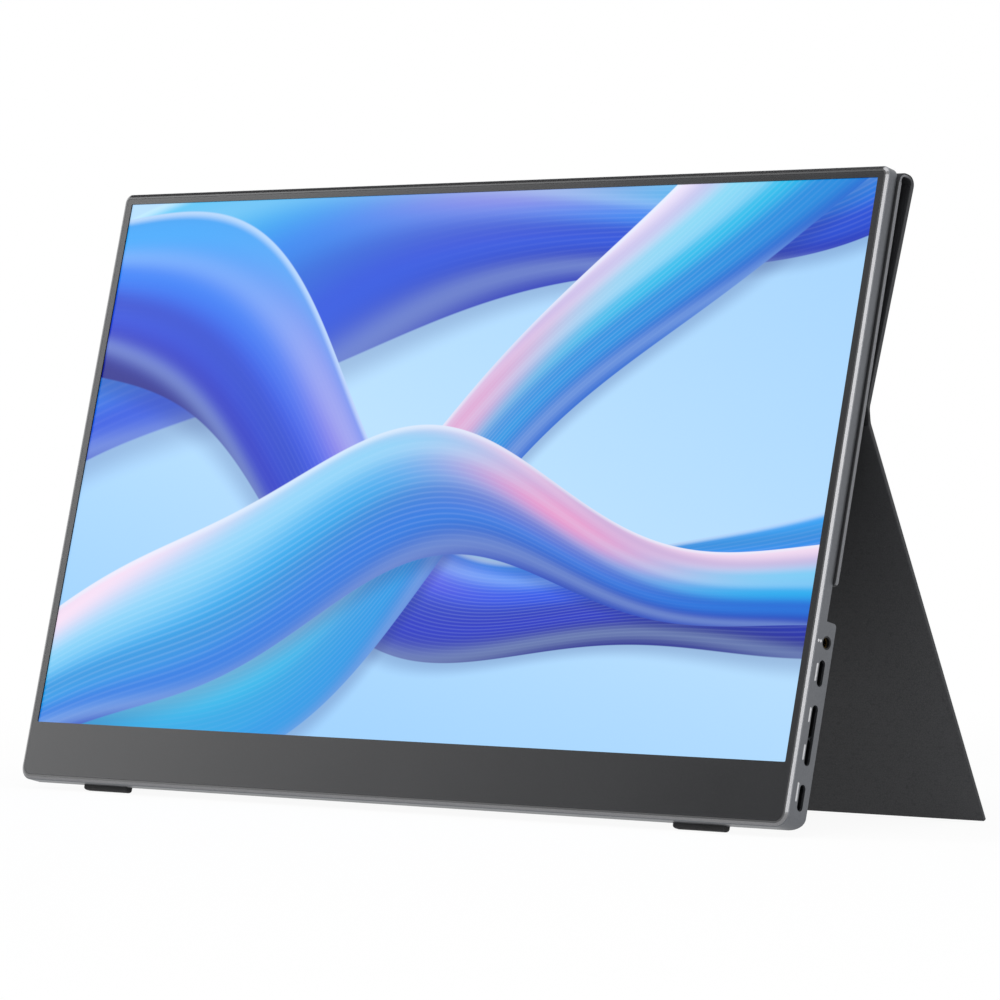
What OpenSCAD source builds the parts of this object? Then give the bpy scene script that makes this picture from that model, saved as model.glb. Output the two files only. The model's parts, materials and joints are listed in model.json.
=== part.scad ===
// Slim portable monitor with a fold-over cover, standing open on the cover's leg.
// Everything is drawn in the monitor's own axes: X to the right, Y from the front
// face towards the back, Z up the screen from the underside. placed() then leans
// the whole thing back until the feet and the leg's edge share one floor.

/* [Screen] */
// Width of the picture, 15.6 inch at 16:9
screen_w = 344.16; // [330:0.01:360]
// Height of the picture
screen_h = 193.59; // [180:0.01:205]
// From the picture to the body's side
side_bezel = 4.37; // [4.2:0.01:8]
// From the picture to the body's top
top_bezel = 4.0; // [3.9:0.1:8]
// From the picture to the body's underside
chin_h = 21.2; // [20:0.1:32]

/* [Body] */
// Thickness of the slim upper part
slim_t = 4.6; // [4.5:0.1:6]
// Thickness of the lower part that holds the electronics
base_t = 9.8; // [9.7:0.1:13]
// Height of that lower part
base_h = 68.1; // [67.5:0.1:76]
// Side, top and bottom walls
wall_t = 1.8; // [1.7:0.1:2.2]
// Back wall of the slim part
slim_back_t = 1.1; // [0.8:0.1:1.2]
// Back wall of the lower part
base_back_t = 1.2; // [1:0.1:1.6]
// Radius of the two upper corners, seen from the front
top_corner_r = 3.0; // [2:0.1:4]
// Radius of the two lower corners, seen from the front
low_corner_r = 5.0; // [3:0.1:6]
// Width of the cut bevel round the front, seen from the front
bevel_w = 1.2; // [0.8:0.1:1.6]
// Depth of that bevel, seen from the side
bevel_d = 0.8; // [0.6:0.1:1.6]
// Radius of the lower back edge
low_edge_r = 4.0; // [3:0.1:4.2]
// Radius of the ledge where the body gets thicker
ledge_r = 1.2; // [0.6:0.1:2]

/* [Display] */
// Thickness of the front bezel sheet
bezel_t = 0.5; // [0.4:0.05:0.6]
// Thickness of the liquid-crystal cell with its polarisers
cell_t = 1.1; // [0.9:0.05:1.15]
// Thickness of the light guide with its films
guide_t = 1.3; // [1:0.05:1.35]
// Thickness of the steel tray behind the light guide
tray_t = 0.3; // [0.2:0.05:0.3]
// From the underside to the display's lower edge
display_z = 13; // [12.5:0.1:14]
// Air between the display's edge and the walls
display_air = 0.4; // [0.3:0.05:0.8]
// Depth of the light bar along the display's lower edge
light_bar_h = 2.6; // [2:0.1:3.5]

/* [Sockets] */
// Depth of the sockets' middle behind the front face
socket_y = 5.7; // [5.5:0.1:6]
// Wall left in front of the sockets
socket_wall = 0.8; // [0.6:0.1:1.2]
// From the ledge down to the audio jack's middle
jack_drop = 6.8; // [6.7:0.1:7]
// From the audio jack's middle down to the upper USB-C slot's end
jack_to_slot = 5.9; // [5.6:0.1:6.4]
// Depth of the audio jack's middle behind the front face
jack_y = 6.2; // [6.1:0.1:6.3]
// Bore of the audio jack
jack_bore_d = 3.6; // [3.56:0.01:3.8]

/* [Buttons] */
// Length of the power button
power_l = 9; // [7:0.1:12]
// From the ledge down to the power button's middle
power_drop = 16.1; // [14:0.1:18]
// Length of the menu rocker
rocker_l = 20; // [16:0.1:24]
// From the power button's middle down to the menu rocker's middle
rocker_drop = 23; // [20:0.5:24]
// Width of both, from front to back
button_w = 2.5; // [2:0.1:3]
// How far both stand out of the side
button_out = 0.6; // [0.3:0.1:1]

/* [Speakers] */
// Length of a speaker
speaker_l = 32; // [24:0.5:40]
// Height of a speaker
speaker_h = 14; // [10:0.5:16]
// From the body's side in to a speaker's middle
speaker_inset = 84.5; // [76:0.5:100]
// From the ledge down to a speaker's middle
speaker_drop = 20.1; // [18:0.1:24]
// Thickness of a speaker
speaker_t = 4.2; // [3:0.1:4.4]
// Slots behind each speaker
speaker_slots = 12; // [6:1:16]

/* [Feet] */
// From the body's side in to a foot's middle
foot_inset = 39.6; // [26:0.1:60]
// Length of a foot
foot_l = 21.5; // [16:0.5:36]
// Depth of a foot, from front to back
foot_d = 2.8; // [2.4:0.1:3.6]
// How far a foot stands below the body
foot_h = 1.8; // [1.4:0.1:4]
// Radius of a foot's lower long edges
foot_edge_r = 0.8; // [0.4:0.1:1.1]
// Radius of a foot's lower corners, seen from the front
foot_end_r = 1.2; // [0.4:0.1:1.4]

/* [Fastenings] */
// Shank of the screws that close the body
case_screw_d = 2.0; // [1.6:0.1:2.4]
// Shank of the screws that hold the main board
board_screw_d = 1.6; // [1.2:0.1:1.8]
// Thickness of the circuit boards
board_t = 0.8; // [0.6:0.1:0.9]
// Length of a holding magnet in the cover
magnet_l = 30; // [16:1:50]
// Height of a holding magnet
magnet_h = 8; // [6:0.5:14]

/* [Cover] */
// How far the cover stands out past each side of the body
cover_over = 0.95; // [0:0.05:2]
// Height of the panel that clings to the body's back
back_panel_l = 139.3; // [120:0.1:145]
// Thickness of that panel
back_panel_t = 1.8; // [1.7:0.1:2.6]
// Thickness of the flap and of the leg
leaf_t = 1.5; // [1.4:0.1:2.2]
// Outer skin of the cover
skin_t = 0.5; // [0.3:0.05:0.6]
// Soft lining of the cover
lining_t = 0.4; // [0.3:0.05:0.5]
// Skin turned round the edges of the boards
hem_w = 1.2; // [0.8:0.1:2]
// Radius of the cover's corners
cover_corner_r = 1.5; // [1:0.1:4]
// Width of the spine between the back panel and the flap
spine_l = 8.6; // [7:0.1:12]
// Thickness of the spine, which has no board
spine_t = 1.2; // [0.8:0.1:1.4]
// From the spine's fold line to the crease above the leg
flap_l = 79.9; // [60:0.1:95]
// Width of the soft crease between the flap and the leg
crease_l = 4.5; // [4:0.1:8]
// Thickness of that crease, which has no board
crease_t = 0.9; // [0.6:0.1:1.2]
// Turn of the crease's upper fold line when the monitor stands
crease_turn = 25; // [20:0.5:30]
// From the crease to the leg's edge
leg_l = 146; // [125:0.5:155]
// Angle between the leg and the screen when the monitor stands
leg_angle = 39.8; // [35:0.1:50]

/* [Clearances] */
// Air between pieces that move past each other
air = 0.3; // [0.2:0.05:0.4]
// Air round the buttons
button_air = 0.2; // [0.1:0.05:0.3]
// Air between the sockets and the wall in front of them
socket_air = 0.05; // [0.02:0.01:0.1]
// Air between the bezel sheet and the body's rim
bezel_air = 0.1; // [0.05:0.01:0.2]
// Radial air of the rocker's pin
pin_air = 0.05; // [0.02:0.01:0.09]

/* [Hidden] */
$fn = 48;

// The body's outer size follows from the picture and its borders
body_w = screen_w + 2 * side_bezel;
body_h = screen_h + top_bezel + chin_h;
side_x = body_w / 2;
inner_x = side_x - wall_t;

// Layers from front to back
deck_y = slim_t - slim_back_t;
base_floor_y = base_t - base_back_t;
cell_y = bezel_t;
guide_y = cell_y + cell_t;
tray_y = guide_y + guide_t;
behind_tray_y = tray_y + tray_t;
// The display's square corners stay clear of the walls' round inner corners
corner_air = 0.05;
display_gap = max(display_air, 0.3 * (top_corner_r - wall_t) + corner_air);
display_x = inner_x - display_gap;
display_top_z = body_h - wall_t - display_gap;
ledge_wall = 1.2;
bottom_wall = 1.4;

// Sockets: standard mouth sizes, with the shells drawn round them
usb_mouth = [2.56, 8.34];
usb_depth = 6.2;
usb_shell_l = 7.35;
hdmi_mouth = [2.5, 10.5];
hdmi_depth = 6.5;
hdmi_shell_l = 7.6;
shell_t = 0.3;
socket_x = side_x - socket_wall - socket_air;
pair_air = 0.06;
pair_gap = 2 * shell_t + pair_air;
pair_l = usb_mouth[1] + hdmi_mouth[1] + pair_gap;
jack_z = base_h - jack_drop;
slots_top_z = jack_z - jack_to_slot;
slot_space = (slots_top_z - 2 * usb_mouth[1] - pair_l) / 3;
usb_low_z = slot_space + usb_mouth[1] / 2;
pair_z = 2 * slot_space + usb_mouth[1] + pair_l / 2;
usb_high_z = slots_top_z - usb_mouth[1] / 2;
usb_mid_z = pair_z - pair_l / 2 + usb_mouth[1] / 2;
hdmi_z = pair_z + pair_l / 2 - hdmi_mouth[1] / 2;
slot_ease = 0.34;
jack_nose_t = 0.4;
jack_nose_d = jack_bore_d + 2 * jack_nose_t;
jack_size = [12, 4.6, 6];
jack_set_back = 0.2;
jack_bore_l = 11;

// Main board, just behind the sockets
board_y = socket_y + usb_mouth[0] / 2 + shell_t;
board_w = 44;
board_edge = 0.6;
board_x = inner_x - board_edge - board_w;
board_low_z = bottom_wall + 2;
board_top_z = base_h - ledge_wall - 2.5;
board_h = board_top_z - board_low_z;
hole_edge = 3;
board_holes = [[board_x + hole_edge, board_low_z + hole_edge],
               [board_x + hole_edge, board_top_z - hole_edge],
               [board_x + board_w - usb_shell_l - hole_edge / 2, usb_low_z + (usb_mouth[1] + slot_space) / 2],
               [board_x + board_w - jack_size[0] - 2 * hole_edge, board_top_z - hole_edge]];
board_head_d = 3.0;
board_head_t = 0.8;
board_screw_l = board_t + 1.2;
board_post_d = 5;
cross_w = 0.5;
// Chips: place from the board's lower left corner, then width and height
chips = [[11, board_h / 2, 13, 13], [13, 6.5, 8, 6], [26, board_h - 14.5, 7, 7],
         [8, board_h - 12.5, 6, 4], [26, 4.5, 5, 5]];
chip_t = 1.0;

// Driver board behind the chin, and the films and the ribbon that leave it
driver_t = 0.6;
driver_h = 8;
driver_half = 105;
driver_z = display_z + 2;
driver_y = behind_tray_y + 0.2;
flex_t = 0.1;
flex_w = 24;
flex_pitch = 52;
flex_loop = 0.15;
plug_w = 20;
plug_x = driver_half - 2 * plug_w - 7;
plug_t = 0.9;
cable_w = 9;
cable_z = driver_z + driver_h - 4;
cable_t = 0.16;
cable_y = socket_y + air;

// Screws that close the body, through the back into the bezel's posts
case_screw_inset = 56.5;
case_screw_x = [for (i = [-1, -1 / 3, 1 / 3, 1]) i * (side_x - case_screw_inset)];
case_screw_z = 7.5;
case_head_d = 3.8;
case_head_t = 1.0;
case_seat_y = base_t - 1.2;
case_pad_t = 1.2;
case_hole_air = 0.2;
case_pad_d = 6;
case_post_d = 4.6;
case_screw_l = 4.2;
seat_air = 0.05;

// Buttons on the left side, and the board behind them
stem_air = 0.5;
flange_t = 0.6;
flange_over = 0.8;
switch_t = 1.0;
switch_w = 3.0;
power_z = base_h - power_drop;
rocker_z = power_z - rocker_drop;
rocker_reach = 7;
switch_places = [power_z, rocker_z - rocker_reach, rocker_z + rocker_reach];
button_board_z = [rocker_z - rocker_reach - 10, power_z + 8];
stem_l = 0.7;
power_back_x = -inner_x + flange_t + stem_l;
button_board_x = power_back_x + stem_air + switch_t;
rocker_pin_d = 1.2;
rocker_hub_d = 2.8;
rocker_axis_x = -inner_x + rocker_pin_d / 2 + 0.3;
ear_t = 0.9;
ear_l = 3.4;
ear_x = rocker_axis_x + rocker_pin_d / 2 + 0.7;

// Speakers low in the thick part, and the leads and the cable that pass them
speaker_x = side_x - speaker_inset;
speaker_z = base_h - speaker_drop;
speaker_low_z = speaker_z - speaker_h / 2;
grille_slot_w = 1.1;
rail_t = 0.8;
lead_t = 0.6;
lead_w = 1.4;
lead_gap = 2.4;
lead_y = base_floor_y - 2;
button_cable_w = 4;
button_cable_z = (speaker_low_z + cable_z + cable_w - button_cable_w) / 2;
button_cable_y = base_floor_y - 1.8;
button_cable_t = 0.14;

// Cable sockets on the main board: height, length, then the cable's place and width
pad_edge = 0.5;
socket_pads = [[0.6, 6, cable_z, cable_w], [1, 4, button_cable_z, button_cable_w]];

// Ribs inside the thick part and behind the chin
rib_t = 0.8;
rib_d = 1.4;
rib_low_z = 12;
rib_inset = 26.5;
rib_to_speaker = 30;
rib_x = [rib_inset - side_x, rib_to_speaker - speaker_x, 0, speaker_x - rib_to_speaker];
chin_rib_pitch = 16;
chin_rib_edge = 6;

// Steel plates inside the slim back wall, and the cover's magnets over them
plate_t = 0.25;
magnet_low = 14;
magnet_high = 26;
magnet_inset = 58.5;
magnet_x = side_x - magnet_inset;

// Feet, let into the underside at the lower back edge
foot_x = side_x - foot_inset;
foot_back = 1.9;
foot_y = base_t - foot_back - foot_d;
foot_pocket = 0.8;

// The cover's fold lines, all on its lining side
cover_w = body_w + 2 * cover_over;
cling_air = 0.1;
fold_y = slim_t + cling_air;
fold_z = body_h + air;
magnet_z = [fold_z - back_panel_l + magnet_low, fold_z - magnet_high];
fold_trim = spine_t + air;
flap_y = fold_y + spine_l;
flap_reach = flap_y - fold_y - back_panel_t - air;
flap_lean = asin(flap_reach / norm([flap_l, leaf_t])) - atan(leaf_t / flap_l);
flap_trim = fold_trim + leaf_t * sin(flap_lean);
strip_angle = crease_turn - flap_lean;
strip_start = [flap_y - flap_l * sin(flap_lean), fold_z - flap_l * cos(flap_lean)];
leg_start = strip_start + crease_l * [sin(strip_angle), -cos(strip_angle)];
leg_end = leg_start + leg_l * [sin(leg_angle), -cos(leg_angle)];
leg_low = leg_end - leaf_t * [cos(leg_angle), sin(leg_angle)];
crease_gap = 0.15;

// The lean that puts the feet and the leg's lower corner on one floor
foot_turn = [foot_y + foot_d - foot_edge_r, foot_edge_r - foot_h];
foot_to_leg = leg_low - foot_turn;
tilt = asin(foot_edge_r / norm(foot_to_leg)) + atan2(foot_to_leg[1], foot_to_leg[0]);
floor_z = foot_turn[1] * cos(tilt) - foot_turn[0] * sin(tilt) - foot_edge_r;
front_y = bevel_w * sin(tilt);
back_y = leg_end[0] * cos(tilt) + leg_end[1] * sin(tilt);
mid_y = (front_y + back_y) / 2;

over = 0.5;

// From the monitor's own axes to how it stands
module placed() {
    translate([0, -mid_y, -floor_z]) rotate([-tilt, 0, 0]) children();
}

// A front-view shape given thickness from one depth to another
module slab(y0, y1) {
    translate([0, y1, 0]) rotate([90, 0, 0]) linear_extrude(height = y1 - y0) children();
}

// A side-view shape drawn in (Y, Z) and run from one X to another
module run_x(x0, x1) {
    translate([x0, 0, 0]) rotate([90, 0, 90]) linear_extrude(height = x1 - x0) children();
}

module pin_y(x, z, y0, y1, d) {
    translate([x, y0, z]) rotate([-90, 0, 0]) cylinder(d = d, h = y1 - y0);
}

module block(x0, x1, y0, y1, z0, z1) {
    translate([x0, y0, z0]) cube([x1 - x0, y1 - y0, z1 - z0]);
}

// Slot with round ends, long along the second axis
module oblong(size) {
    half = (size[1] - size[0]) / 2;
    translate([-size[0] / 2, -half]) square([size[0], 2 * half]);
    for (s = [-1, 1]) translate([0, s * half]) circle(d = size[0]);
}

module rounded_rect(w, h, r) {
    translate([-w / 2 + r, 0]) square([w - 2 * r, h]);
    translate([-w / 2, r]) square([w, h - 2 * r]);
    for (s = [-1, 1]) for (z = [r, h - r]) translate([s * (w / 2 - r), z]) circle(r);
}

// Front view of the body, drawn in by inset on every side
module body_outline(inset) {
    rt = top_corner_r - min(inset, top_corner_r - 0.6);
    rl = low_corner_r - min(inset, low_corner_r - 0.6);
    half = side_x - inset;
    top = body_h - inset;
    translate([-half, inset + rl]) square([2 * half, top - rt - inset - rl]);
    translate([-half + rl, inset]) square([2 * (half - rl), body_h / 2]);
    translate([-half + rt, body_h / 2]) square([2 * (half - rt), top - body_h / 2]);
    for (s = [-1, 1]) {
        translate([s * (half - rt), top - rt]) circle(rt);
        translate([s * (half - rl), inset + rl]) circle(rl);
    }
}

// Side view of the body: a slim plate that steps out to the thicker lower part
module body_profile() {
    square([slim_t, body_h]);
    square([base_t - low_edge_r, base_h - ledge_r]);
    translate([0, low_edge_r]) square([base_t, base_h - low_edge_r - ledge_r]);
    translate([0, base_h / 2]) square([base_t - ledge_r, base_h / 2]);
    translate([base_t - low_edge_r, low_edge_r]) circle(low_edge_r);
    translate([base_t - ledge_r, base_h - ledge_r]) circle(ledge_r);
}

// Side view of the room inside the lower part
module base_room_profile() {
    r = low_edge_r - base_back_t;
    top = base_h - ledge_wall;
    translate([0, bottom_wall]) square([base_floor_y - r, top - bottom_wall]);
    translate([0, bottom_wall + r]) square([base_floor_y, top - bottom_wall - r]);
    translate([base_floor_y - r, bottom_wall + r]) circle(r);
}

// The bright cut bevel round the front: cones at the corners, wedges between
module front_bevel() {
    for (s = [-1, 1]) {
        pin_cone(s * (side_x - top_corner_r), body_h - top_corner_r, top_corner_r);
        pin_cone(s * (side_x - low_corner_r), low_corner_r, low_corner_r);
    }
    run_x(-side_x + top_corner_r, side_x - top_corner_r)
        polygon([[0, body_h / 2], [bevel_d, body_h / 2], [bevel_d, body_h], [0, body_h - bevel_w]]);
    run_x(-side_x + low_corner_r, side_x - low_corner_r)
        polygon([[0, body_h / 2], [0, bevel_w], [bevel_d, 0], [bevel_d, body_h / 2]]);
    translate([0, 0, low_corner_r]) linear_extrude(height = body_h - top_corner_r - low_corner_r)
        polygon([[-side_x + bevel_w, 0], [side_x - bevel_w, 0], [side_x, bevel_d], [-side_x, bevel_d]]);
}

module pin_cone(x, z, r) {
    translate([x, 0, z]) rotate([-90, 0, 0]) cylinder(r1 = r - bevel_w, r2 = r, h = bevel_d);
}

module body_outer() {
    intersection() {
        run_x(-side_x, side_x) body_profile();
        slab(bevel_d, base_t) body_outline(0);
    }
    front_bevel();
}

module body_rooms() {
    slab(-over, deck_y) body_outline(wall_t);
    intersection() {
        run_x(-inner_x, inner_x) base_room_profile();
        slab(deck_y - over, base_t) body_outline(wall_t);
    }
}

// A slot through the right-hand side, with a pocket behind it for the shells
module socket_cut(z, mouth) {
    translate([0, socket_y, z]) run_x(inner_x - over, side_x + over)
        oblong(mouth + [slot_ease, slot_ease]);
    shell = mouth + 2 * [shell_t, shell_t] + 2 * [air, air];
    translate([0, socket_y - shell[0] / 2, z - shell[1] / 2])
        block(inner_x - over, side_x - socket_wall, 0, shell[0], 0, shell[1]);
}

module speaker_grille(side) {
    pitch = speaker_l / speaker_slots;
    for (i = [0:speaker_slots - 1])
        translate([side * speaker_x + (i + 0.5 - speaker_slots / 2) * pitch, 0, speaker_z])
            slab(base_floor_y - over, base_t + over) oblong([grille_slot_w, speaker_h * 0.6]);
}

module left_cuts() {
    translate([0, socket_y, power_z]) run_x(-side_x - over, -inner_x + over)
        oblong([button_w, power_l] + 2 * [button_air, button_air]);
    translate([0, socket_y, rocker_z]) run_x(-side_x - over, -inner_x + over)
        oblong([button_w, rocker_l] + 2 * [button_air, button_air]);
}

module foot_pocket_cut(side) {
    block(side * foot_x - foot_l / 2, side * foot_x + foot_l / 2,
          foot_y, foot_y + foot_d, -over, foot_pocket);
}

// Two ears that hold the rocker's pin
module rocker_ears() {
    room = button_w / 2 + button_air;
    difference() {
        union() {
            block(-inner_x - over, ear_x, socket_y - room - ear_t, socket_y - room,
                  rocker_z - ear_l / 2, rocker_z + ear_l / 2);
            block(-inner_x - over, ear_x, socket_y + room, base_floor_y + over,
                  rocker_z - ear_l / 2, rocker_z + ear_l / 2);
        }
        pin_y(rocker_axis_x, rocker_z, 0, base_floor_y, rocker_pin_d);
    }
}

module housing_posts() {
    for (p = board_holes) pin_y(p[0], p[1], board_y + board_t, base_floor_y + over, board_post_d);
    for (x = case_screw_x) pin_y(x, case_screw_z, case_seat_y - case_pad_t, base_floor_y + over, case_pad_d);
    // Ribs that stiffen the wide back between the boards
    for (x = rib_x)
        block(x - rib_t / 2, x + rib_t / 2, base_floor_y - rib_d, base_floor_y + over,
              rib_low_z, base_h - ledge_wall - over);
    // A rail at each end of each speaker
    for (s = [-1, 1]) for (e = [-1, 1])
        translate([s * speaker_x + e * (speaker_l / 2 + air + rail_t / 2), 0, 0])
            block(-rail_t / 2, rail_t / 2, base_floor_y - 3, base_floor_y + over,
                  speaker_low_z, speaker_low_z + speaker_h);
}

module rear_housing() {
    color("#616366") placed() difference() {
        union() {
            difference() {
                body_outer();
                body_rooms();
            }
            housing_posts();
            rocker_ears();
        }
        socket_cut(usb_high_z, usb_mouth);
        socket_cut(pair_z, [usb_mouth[0], pair_l]);
        socket_cut(usb_low_z, usb_mouth);
        translate([inner_x - over, jack_y, jack_z]) rotate([0, 90, 0])
            cylinder(d = jack_nose_d + 2 * socket_air, h = wall_t + 2 * over);
        left_cuts();
        for (s = [-1, 1]) speaker_grille(s);
        for (s = [-1, 1]) foot_pocket_cut(s);
        for (x = case_screw_x) {
            pin_y(x, case_screw_z, case_seat_y, base_t + over, case_head_d + 2 * case_hole_air);
            pin_y(x, case_screw_z, 0, base_t, case_screw_d + 2 * case_hole_air);
        }
        for (p = board_holes)
            pin_y(p[0], p[1], board_y, board_y + board_screw_l, board_screw_d);
    }
}

module bezel_window() {
    window_air = 0.15;
    translate([0, chin_h - window_air])
        rounded_rect(screen_w + 2 * window_air, screen_h + 2 * window_air, 0.4);
}

module front_bezel() {
    rib_y = behind_tray_y - 0.4;
    ledge_z = display_z - 1.4;
    rib_n = floor((inner_x - chin_rib_edge) / chin_rib_pitch);
    color("#1b1c1e") placed() {
        difference() {
            union() {
                slab(0, bezel_t) difference() {
                    body_outline(wall_t + bezel_air);
                    bezel_window();
                }
                for (x = case_screw_x)
                    pin_y(x, case_screw_z, bezel_t - 0.2, case_seat_y - case_pad_t - seat_air, case_post_d);
                // Stiffening ribs behind the chin, below the display
                for (z = [board_low_z, ledge_z])
                    block(-inner_x + chin_rib_edge, inner_x - chin_rib_edge, bezel_t - 0.2, rib_y,
                          z - rib_t / 2, z + rib_t / 2);
                for (i = [-rib_n:rib_n]) translate([i * chin_rib_pitch, 0, 0])
                    block(-rib_t / 2, rib_t / 2, bezel_t - 0.2, rib_y, board_low_z, ledge_z);
            }
            for (x = case_screw_x)
                pin_y(x, case_screw_z, case_seat_y - case_screw_l, base_t, case_screw_d);
        }
    }
}

module lcd_cell() {
    color("#20242c") placed() block(-display_x, display_x, cell_y, guide_y, display_z, display_top_z);
}

module light_guide() {
    edge = tray_t + 0.2;
    color("#dfe6ea") placed()
        block(-display_x + edge, display_x - edge, guide_y, tray_y,
              display_z + tray_t + light_bar_h + 0.2, display_top_z - edge);
}

module light_bar() {
    lamp_pitch = 7;
    lamps = floor((2 * display_x - 8) / lamp_pitch);
    color("#efe9c8") placed() {
        block(-display_x + 1, display_x - 1, guide_y + 0.1, guide_y + 0.4,
              display_z + tray_t + 0.1, display_z + tray_t + light_bar_h);
        for (i = [0:lamps - 1])
            translate([(i - (lamps - 1) / 2) * lamp_pitch, 0, 0])
                block(-1.6, 1.6, guide_y + 0.4, guide_y + 1.0,
                      display_z + tray_t + light_bar_h - 1.2, display_z + tray_t + light_bar_h);
    }
}

module display_tray() {
    color("#a9adb0") placed() difference() {
        block(-display_x, display_x, guide_y, behind_tray_y, display_z, display_top_z);
        block(-display_x + tray_t, display_x - tray_t, guide_y - over, tray_y,
              display_z + tray_t, display_top_z - tray_t);
    }
}

module driver_board() {
    color("#1d5a3a") placed() {
        block(-driver_half, driver_half, driver_y, driver_y + driver_t, driver_z, driver_z + driver_h);
        block(plug_x, plug_x + plug_w, driver_y + driver_t, driver_y + driver_t + plug_t,
              driver_z + 2, driver_z + 5);
    }
}

// Thin films that carry the picture from the cell's edge round the tray
module driver_flexes() {
    front_y = guide_y - flex_loop;
    low_z = display_z - 0.5;
    far = driver_h + driver_z - low_z;
    color("#b9822f") placed() for (i = [-1.5:1:1.5])
        run_x(i * flex_pitch - flex_w / 2, i * flex_pitch + flex_w / 2) difference() {
            translate([front_y - flex_t, low_z])
                square([driver_y + 3 * flex_t - front_y + flex_t, driver_z - low_z]);
            translate([front_y, low_z + flex_t]) square([driver_y - front_y, far]);
            translate([guide_y - over, display_z]) square([driver_y + over - guide_y, far]);
            translate([driver_y + flex_t, low_z + flex_t]) square([over, far]);
        }
}

function normal(a, b) = [a[1] - b[1], b[0] - a[0]] / norm(b - a);

// Where one side of a ribbon runs, at a distance from its middle line
function beside(path, off) = let (n = len(path)) [for (i = [0:n - 1])
    let (n0 = normal(path[max(i - 1, 0)], path[max(i, 1)]),
         n1 = normal(path[min(i, n - 2)], path[min(i + 1, n - 1)]))
    path[i] + off * (n0 + n1) / (1 + n0 * n1)];

// A flat cable's path, drawn as a line of thickness t with mitred corners
module ribbon(path, t) {
    one = beside(path, t / 2);
    other = beside(path, -t / 2);
    polygon(concat(one, [for (i = [len(other) - 1:-1:0]) other[i]]));
}

// Ribbon from the driver board to the main board
module display_cable() {
    x = plug_x + plug_w + 2;
    y = driver_y + driver_t + flex_t;
    end_y = board_y - socket_pads[0][0] - flex_loop;
    color("#c9b273") placed() translate([0, 0, cable_z]) linear_extrude(height = cable_w)
        ribbon([[x, y], [x + 6, y], [x + 12, cable_y], [board_x - 8, cable_y],
                [board_x + 4, end_y], [board_x + 11, end_y]], cable_t);
}

module main_board() {
    color("#17442f") placed() slab(board_y, board_y + board_t) difference() {
        translate([board_x, board_low_z]) square([board_w, board_top_z - board_low_z]);
        translate([socket_x - jack_size[0] - air, jack_z - jack_size[2] / 2 - air])
            square([20, jack_size[2] + 2 * air]);
        for (p = board_holes) translate(p) circle(d = board_screw_d + 2 * button_air);
    }
}

module board_chips() {
    color("#2a2b2d") placed() {
        for (c = chips) translate([board_x + c[0], board_y - chip_t, board_low_z + c[1]])
            cube([c[2], chip_t, c[3]]);
        // Sockets that the display cable and the button cable end at
        for (p = socket_pads) translate([board_x + 5, board_y - p[0], p[2] - pad_edge])
            cube([p[1], p[0], p[3] + 2 * pad_edge]);
    }
}

module usb_shell(z) {
    translate([0, socket_y, z]) difference() {
        run_x(socket_x - usb_shell_l, socket_x) oblong(usb_mouth + 2 * [shell_t, shell_t]);
        run_x(socket_x - usb_depth, socket_x + over) oblong(usb_mouth);
    }
}

module usb_c_high() {
    color("#b4b7ba") placed() usb_shell(usb_high_z);
}

module usb_c_middle() {
    color("#b4b7ba") placed() usb_shell(usb_mid_z);
}

module usb_c_low() {
    color("#b4b7ba") placed() usb_shell(usb_low_z);
}

module hdmi_shape(grow) {
    y = hdmi_mouth[0] / 2 + grow;
    z = hdmi_mouth[1] / 2 + grow;
    bevel = 0.9;
    polygon([[-y, -z], [y - bevel, -z], [y, -z + bevel], [y, z - bevel], [y - bevel, z], [-y, z]]);
}

module mini_hdmi() {
    color("#b4b7ba") placed() translate([0, socket_y, hdmi_z]) difference() {
        run_x(socket_x - hdmi_shell_l, socket_x) hdmi_shape(shell_t);
        run_x(socket_x - hdmi_depth, socket_x + over) hdmi_shape(0);
    }
}

module tongue(z, depth, t, l) {
    translate([0, socket_y, z])
        block(socket_x - depth, socket_x - 1.4, -t / 2, t / 2, -l / 2, l / 2);
}

module socket_tongues() {
    color("#141516") placed() {
        for (z = [usb_high_z, usb_mid_z, usb_low_z]) tongue(z, usb_depth, 0.7, 6.69);
        tongue(hdmi_z, hdmi_depth, 0.6, 8.1);
    }
}

module audio_jack() {
    nose_x = side_x - jack_set_back;
    color("#101112") placed() translate([0, jack_y, jack_z]) difference() {
        union() {
            block(socket_x - jack_size[0], inner_x - air, -jack_size[1] / 2, jack_size[1] / 2,
                  -jack_size[2] / 2, jack_size[2] / 2);
            translate([inner_x - 1, 0, 0]) rotate([0, 90, 0])
                cylinder(d = jack_nose_d, h = nose_x - inner_x + 1);
        }
        translate([nose_x - jack_bore_l, 0, 0]) rotate([0, 90, 0])
            cylinder(d = jack_bore_d, h = jack_bore_l + over);
    }
}

module speaker(side) {
    placed() translate([side * speaker_x, 0, speaker_z - speaker_h / 2]) difference() {
        slab(base_floor_y - speaker_t, base_floor_y) rounded_rect(speaker_l, speaker_h, 2);
        translate([0, 0, speaker_h * 0.15])
            slab(base_floor_y - 0.9, base_floor_y + over) rounded_rect(speaker_l * 0.86, speaker_h * 0.7, 3);
    }
}

module speaker_left() {
    color("#232426") speaker(-1);
}

module speaker_right() {
    color("#232426") speaker(1);
}

// Flat twin leads along the ledge, from each speaker to the main board
module speaker_leads() {
    low_z = speaker_low_z + speaker_h;
    color("#8f2f2a") placed() for (s = [-1, 1]) {
        x = s * speaker_x - lead_w / 2;
        z = low_z + lead_gap + (s < 0 ? lead_w + lead_t : 0);
        block(x, x + lead_w, lead_y, lead_y + lead_t, low_z, z);
        block(x, board_x - 3, lead_y, lead_y + lead_t, z, z + lead_w);
    }
}

module button_board() {
    color("#17442f") placed()
        block(button_board_x, button_board_x + board_t, socket_y - 2.1, base_floor_y,
              button_board_z[0], button_board_z[1]);
}

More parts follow.
